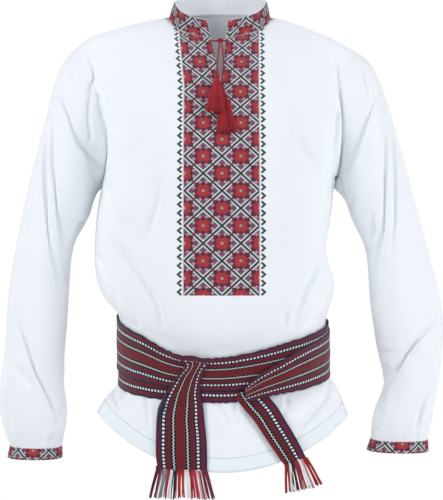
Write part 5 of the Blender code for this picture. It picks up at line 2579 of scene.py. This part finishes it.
@dataclass(frozen=True)
class Turn:
    """One turn of the sash round the waist, from one angle to another.

    `follows` is the turn that it goes on from at the middle of the back, and `tuck` the angles
    between which its upper edge is lifted over the top of an end.
    """

    node: str
    name: str
    start: float
    end: float
    rests_on: str
    pleats: float = 0.0
    follows: str | None = None
    tuck: tuple[float, float] | None = None


@dataclass(frozen=True)
class Row:
    """A row of a hanging end, as it is seen from the front, in millimetres."""

    x_left: float
    z_left: float
    x_right: float
    z_right: float


@dataclass(frozen=True)
class HangingEnd:
    """A hanging end of the sash: its rows, its fringe and how its tips spread."""

    node: str
    name: str
    rows: tuple[Row, ...]
    folded: bool
    fringe_node: str
    fringe_name: str
    locks: tuple[Thread, ...]
    strands: int
    fringe: float
    tip_left: float
    tip_right: float
    tucked: float = 0.0


def locks(names: str) -> tuple[Thread, ...]:
    """Threads by their names, with spaces between them."""
    return tuple(Thread[name.upper()] for name in names.split())


@dataclass
class Sash:
    """The woven sash: its turns, its two ends and their fringes."""

    wall: float = 1.2
    folded_wall: float = 0.6
    width: float = 78.0
    edge_ripple: float = 0.6
    edge_roll: float = 0.35
    edge_sway: float = 0.9
    tuck_lift: float = 3.8
    tuck_at: float = 0.80
    pleats_reach: float = 26.0
    fold_gap: float = 1.7
    fold_share: float = 0.03
    curl: float = 0.5
    fringe_root: float = 3.0
    fringe_stray: float = 0.9
    fringe_curl: float = 0.45
    fringe_extra: float = 2.5

    TURNS = (
        Turn("belt_under_turn", "sash_under_turn", -180, 180, "shirt_front"),
        Turn(
            "belt_main_turn",
            "sash_main_turn",
            -180,
            125.9,
            "sash_under_turn",
            0,
            "belt_fan_turn",
            (-36, -3),
        ),
        Turn("belt_fan_turn", "sash_fan_turn", 15.1, 180, "sash_main_turn", 0.9),
    )
    ENDS = (
        HangingEnd(
            "belt_end_left",
            "sash_end_left",
            (
                Row(-83, -541, -15, -551),
                Row(-63, -557, -16, -560),
                Row(-58, -566, -26, -570),
                Row(-69, -578, -31, -585),
                Row(-79, -593, -32, -598),
                Row(-87, -605, -32, -610),
                Row(-94, -616, -29, -622),
                Row(-100, -629, -27, -638),
                Row(-103, -643, -26, -652),
                Row(-104, -669, -23, -672),
                Row(-104, -700, -22, -697),
                Row(-101, -726, -22, -725),
            ),
            False,
            "belt_fringe_left",
            "sash_fringe_left",
            locks(
                "wine maroon grey scarlet white black scarlet "
                "scarlet white scarlet red pink wine maroon"
            ),
            4,
            39,
            -13,
            13,
            0.04,
        ),
        HangingEnd(
            "belt_end_right",
            "sash_end_right",
            (
                Row(21, -610, 56, -589),
                Row(25, -619, 63, -601),
                Row(36, -633, 76, -615),
                Row(49, -647, 88, -630),
                Row(60, -664, 100, -650),
                Row(72, -682, 110, -666),
                Row(85, -701, 121, -686),
                Row(98, -719, 132, -708),
            ),
            True,
            "belt_fringe_right",
            "sash_fringe_right",
            locks("scarlet black white black maroon scarlet white pink scarlet red"),
            5,
            38,
            -1,
            26,
        ),
    )

    def sheets(self) -> dict[str, bpy.types.Object]:
        """The smooth outside of each turn."""
        return {turn.node: outer_sheet(turn.node, 2) for turn in self.TURNS}

    def build(self, sheets: dict[str, bpy.types.Object]) -> None:
        """Model the turns, the ends and the fringes.

        Args:
            sheets: The outside of each turn by its node's name. They are used up.
        """
        woven = SashFinish().build()
        yarn = YarnFinish("sash fringe").build()
        for turn in self.TURNS:
            self.turn(turn, sheets, woven)
        for sheet in sheets.values():
            bpy.data.objects.remove(sheet)
        for end in self.ENDS:
            sheet = outer_sheet(end.node, 2, 3.4 * MM)
            surface = Surface(sheet)
            bpy.data.objects.remove(sheet)
            self.end(end, surface, woven)
            self.fringe(end, surface, yarn)

    def turn(
        self, turn: Turn, sheets: dict[str, bpy.types.Object], woven: bpy.types.Material
    ) -> None:
        """Lay one turn round the waist.

        Args:
            turn: The turn.
            sheets: The outside of each turn by its node's name.
            woven: Its finish.
        """
        surface = Surface(sheets[turn.node])
        low, high = low_and_high(sheets[turn.node])
        first, last = -180.0, 180.0
        joined: list[list[tuple[float, Vector]]] = [[], []]
        if turn.follows:
            angles = [waist_angle(point) for point in low]
            first, last = min(angles), max(angles)
            ends = [
                max(edge, key=lambda point: abs(waist_angle(point)))
                for edge in low_and_high(sheets[turn.follows])
            ]
            joined = [[(-180.0, point)] for point in ends]
        lower, upper = waist_edge(low, joined[0]), waist_edge(high, joined[1])

        def level(share: float) -> Vector:
            """The middle line of the turn."""
            angle = mix(turn.start, turn.end, share)
            return mix(lower(angle), upper(angle), 0.5)

        share_of = by_length(level)

        def place(u: float, v: float) -> Vector:
            """Find the point for a share round the waist and a share up the turn.

            Args:
                u: The share round.
                v: The share up.

            Returns:
                The point.
            """
            angle = mix(turn.start, turn.end, share_of(u))
            held = min(max(angle, first), last)
            flat = mix(lower(held), upper(held), v)
            hit = surface.snapped(flat) + mix(lower(angle), upper(angle), v) - flat
            out, rise = self.relief(turn, angle, v)
            outward = Vector((hit.x, hit.y, 0)).normalized()
            return hit + outward * out * MM + Vector((0, 0, rise * MM))

        made = laid_grid(turn.name, 300, 26, place)
        if turn.end - turn.start == 360:
            merge(made, 0.05)
        turn_out(made)
        long = length_of([level(n / 90) for n in range(91)])
        stretch_uv(made, long)
        area = sum(face.area for face in made.data.polygons)
        give_thickness(made, self.wall * MM)
        finished(made, woven, Slot.SASH, turn.node)
        log.info("%s: %.0f mm long, %.4f square metres", turn.name, long / MM, area)

    def relief(self, turn: Turn, angle: float, v: float) -> tuple[float, float]:
        """Work out a turn's pleats, roll and ripples, and its lift over an end.

        Args:
            turn: The turn.
            angle: The angle round the waist.
            v: The share up the turn.

        Returns:
            How far it moves out and up there, in millimetres.
        """
        near = math.exp(-(((angle - turn.start) / self.pleats_reach) ** 2))
        wave = turn.pleats * near * (0.5 + 0.5 * math.cos(5 * math.pi * v))
        roll = self.edge_roll * math.sin(3 * math.pi * v + 0.04 * angle)
        ripple = self.edge_ripple * math.sin(0.9 * angle + 3 * math.sin(0.17 * angle))
        tucked = self.tucked(turn, angle)
        lift = self.tuck_lift * tucked * ramp((v - self.tuck_at) / 0.06)
        sway = self.edge_sway * math.sin(0.31 * angle + 1) * tucked * v**4
        return wave + roll + lift, ripple * abs(2 * v - 1) ** 3 + sway

    def tucked(self, turn: Turn, angle: float) -> float:
        """Tell how far the upper edge is lifted over an end.

        Args:
            turn: The turn.
            angle: The angle round the waist.

        Returns:
            A share from 0 to 1.
        """
        if not turn.tuck:
            return 0.0
        return ramp((angle - turn.tuck[0]) / 6) * ramp((turn.tuck[1] - angle) / 6)

    def end(self, end: HangingEnd, surface: Surface, woven: bpy.types.Material) -> None:
        """Hang one end, flat or folded lengthwise.

        Args:
            end: The end.
            surface: Its solid's outside.
            woven: Its finish.
        """
        on_front = self.front_layer(end, surface)

        def flat_place(u: float, v: float) -> Vector:
            """A point of an end that hangs flat, curled a little at its selvedges."""
            curl = self.curl * MM * math.cos(2 * math.pi * v) * math.sin(math.pi * u)
            return on_front(u, v) + Vector((0, curl, 0))

        def folded_place(u: float, v: float) -> Vector:
            """Find a point of an end folded lengthwise, whose fold lies on the left.

            Args:
                u: The share down.
                v: The share of its whole width.

            Returns:
                The point.
            """
            spot = on_front(u, abs(1 - 2 * v))
            if v > 0.5:
                return spot
            sink = min(1.0, (0.5 - v) / self.fold_share)
            return spot + Vector((0, self.fold_gap * MM * math.sin(sink * math.pi / 2), 0))

        across = 56 if end.folded else 34
        made = laid_grid(end.name, 120, across, folded_place if end.folded else flat_place)
        self.face_forward(made)
        long = length_of([on_front(n / 60, 0.5) for n in range(61)])
        stretch_uv(made, long)
        give_thickness(made, (self.folded_wall if end.folded else self.wall) * MM)
        finished(made, woven, Slot.SASH, end.node)
        log.info("%s: %.0f mm long", end.name, long / MM)

    def front_layer(self, end: HangingEnd, surface: Surface) -> Place:
        """Lay an end's front layer on its solid.

        Args:
            end: The end.
            surface: Its solid's outside.

        Returns:
            Gives the point for a share down and a share from the left.
        """
        last = len(end.rows) - 1
        keys = list(range(last + 1))
        columns = [[getattr(row, field.name) for row in end.rows] for field in fields(Row)]
        middle_x = [(row.x_left + row.x_right) / 2 for row in end.rows]
        middle_z = [(row.z_left + row.z_right) / 2 for row in end.rows]

        def down(share: float) -> Vector:
            """The middle line of the end."""
            at = share * last
            return Vector((smooth(keys, middle_x, at), 0, smooth(keys, middle_z, at))) * MM

        share_of = by_length(down)

        def on_front(u: float, share: float) -> Vector:
            """Find one point.

            Args:
                u: The share down.
                share: The share from the left.

            Returns:
                The point.
            """
            at = share_of(mix(end.tucked, 1, u)) * last
            x_left, z_left, x_right, z_right = (smooth(keys, column, at) for column in columns)
            x, z = mix(x_left, x_right, share) * MM, mix(z_left, z_right, share) * MM
            spot = surface.seen_from_front(x, z)
            return surface.snapped(Vector((x, -0.16, z))) if spot is None else spot

        return on_front

    def face_forward(self, obj: bpy.types.Object) -> None:
        """Turn a hanging sheet's faces over if its front looks back.

        Args:
            obj: The sheet, whose upper half across is the front.
        """
        total = 0.0
        layer = obj.data.uv_layers.active.data
        for face in obj.data.polygons:
            if layer[face.loop_indices[0]].uv.y > 0.52:
                total += face.normal.y * face.area
        if total > 0:
            work_on_all(obj, bpy.ops.mesh.flip_normals)

    def fringe(self, end: HangingEnd, surface: Surface, yarn: bpy.types.Material) -> None:
        """Knot the warp into locks of strands below an end.

        Args:
            end: The end.
            surface: Its solid's outside.
            yarn: The strands' finish.
        """
        random = Random(end.name)
        last = end.rows[-1]
        box_low, box_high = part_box(end.fringe_node)
        depth = mix(box_low.y, box_high.y, 0.5)
        paths, colours, radii = [], [], []
        for number in range(len(end.locks) * end.strands):
            lock, strand = divmod(number, end.strands)
            across = (lock + (strand + 0.5) / end.strands) / len(end.locks)
            x, z = mix(last.x_left, last.x_right, across), mix(last.z_left, last.z_right, across)
            root = Vector((x * MM, 0, z * MM))
            seen = surface.seen_from_front(root.x, root.z + self.fringe_root * MM)
            root.y = (seen.y if seen else depth) + random.uniform(0.2, 1.4) * MM
            own = (lock + 0.5) / len(end.locks)
            spread = mix(end.tip_left, end.tip_right, own) * MM
            gather = (own - across) * (last.x_right - last.x_left) * 0.2 * MM
            length = end.fringe * random.uniform(0.93, 1.05) * MM + self.fringe_extra * MM
            stray = Vector((random.uniform(-1, 1), random.uniform(-1, 1), 0))
            stray = stray * self.fringe_stray * MM
            phase = random.uniform(0, math.tau)
            path = []
            for step in range(10):
                fall = step / 9
                curl = self.fringe_curl * MM * math.sin(phase + 5 * fall) * fall
                drawn = gather * math.sin(math.pi * fall**0.7)
                x = spread * fall**0.9 + drawn + stray.x * fall + curl
                z = self.fringe_root * MM * (1 - fall) - length * fall
                path.append(root + Vector((x, stray.y * fall + curl, z)))
            paths.append(path)
            radii.append(random.uniform(1.1, 1.4) * MM)
            thread = end.locks[lock]
            colours.append(shaded(thread.value, random.uniform(0.82, 1.2)))
        made = tubes(end.fringe_name, paths, radii, 0.8)
        dye_threads(made, [path[0] for path in paths], colours)
        finished(made, yarn, Slot.SASH, end.fringe_node)


def ramp(share: float) -> float:
    """A soft step from 0 to 1."""
    held = min(max(share, 0.0), 1.0)
    return held * held * (3 - 2 * held)


def waist_angle(point: Vector) -> float:
    """The angle round the waist: 0 at the front, -90 at the left."""
    return math.degrees(math.atan2(point.x, -point.y))


def waist_edge(
    chain: Sequence[Vector], joined: Sequence[tuple[float, Vector]] = ()
) -> Callable[[float], Vector]:
    """Read an edge of a turn by the angle round the waist.

    Args:
        chain: The edge's points.
        joined: Angles and points that it goes on from.

    Returns:
        Gives the edge's point at an angle.
    """
    spots = [(waist_angle(point), point) for point in chain] + list(joined)
    spots += [(angle + shift, point) for angle, point in spots for shift in (-360, 360)]
    spots.sort(key=lambda spot: spot[0])
    angles = [angle for angle, _ in spots]
    columns = [[point[axis] for _, point in spots] for axis in range(3)]

    def read(angle: float) -> Vector:
        """The edge's point at an angle."""
        return Vector([float(np.interp(angle, angles, column)) for column in columns])

    return read


# ------------------------------------------------------------------ main


COLLAR_FLAT = (0.032, 0.47)
CUFF_FLAT = (0.021, 0.26)
BANDS = (
    Band("collar", "shirt_collar", COLLAR_FLAT, 292, 20, 0, False, BODY_PIECES, 1.0),
    *(
        Band(f"cuff_{side}", f"cuff_{side}_band", CUFF_FLAT, 180, 14, 7, True, (sleeve,), 0.0, 18)
        for side, sleeve in (("left", "shirt_sleeve_left"), ("right", "shirt_sleeve_right"))
    ),
)


def main() -> None:
    """Build the studio and the garment."""
    logging.basicConfig(level=logging.INFO, format="%(name)s: %(message)s")
    Studio().build()
    Tie(Surface(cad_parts["front_embroidery"])).build()
    sash = Sash()
    sheets = sash.sheets()
    linen = LinenFinish().build()
    panels = Shirt(SashEdges.of(list(sheets.values())), linen).build()
    lattice = Lattice()
    FrontField(panels["front"]).build(lattice)
    for band in BANDS:
        band.build(lattice, linen)
    sash.build(sheets)


if __name__ == "__main__":
    main()
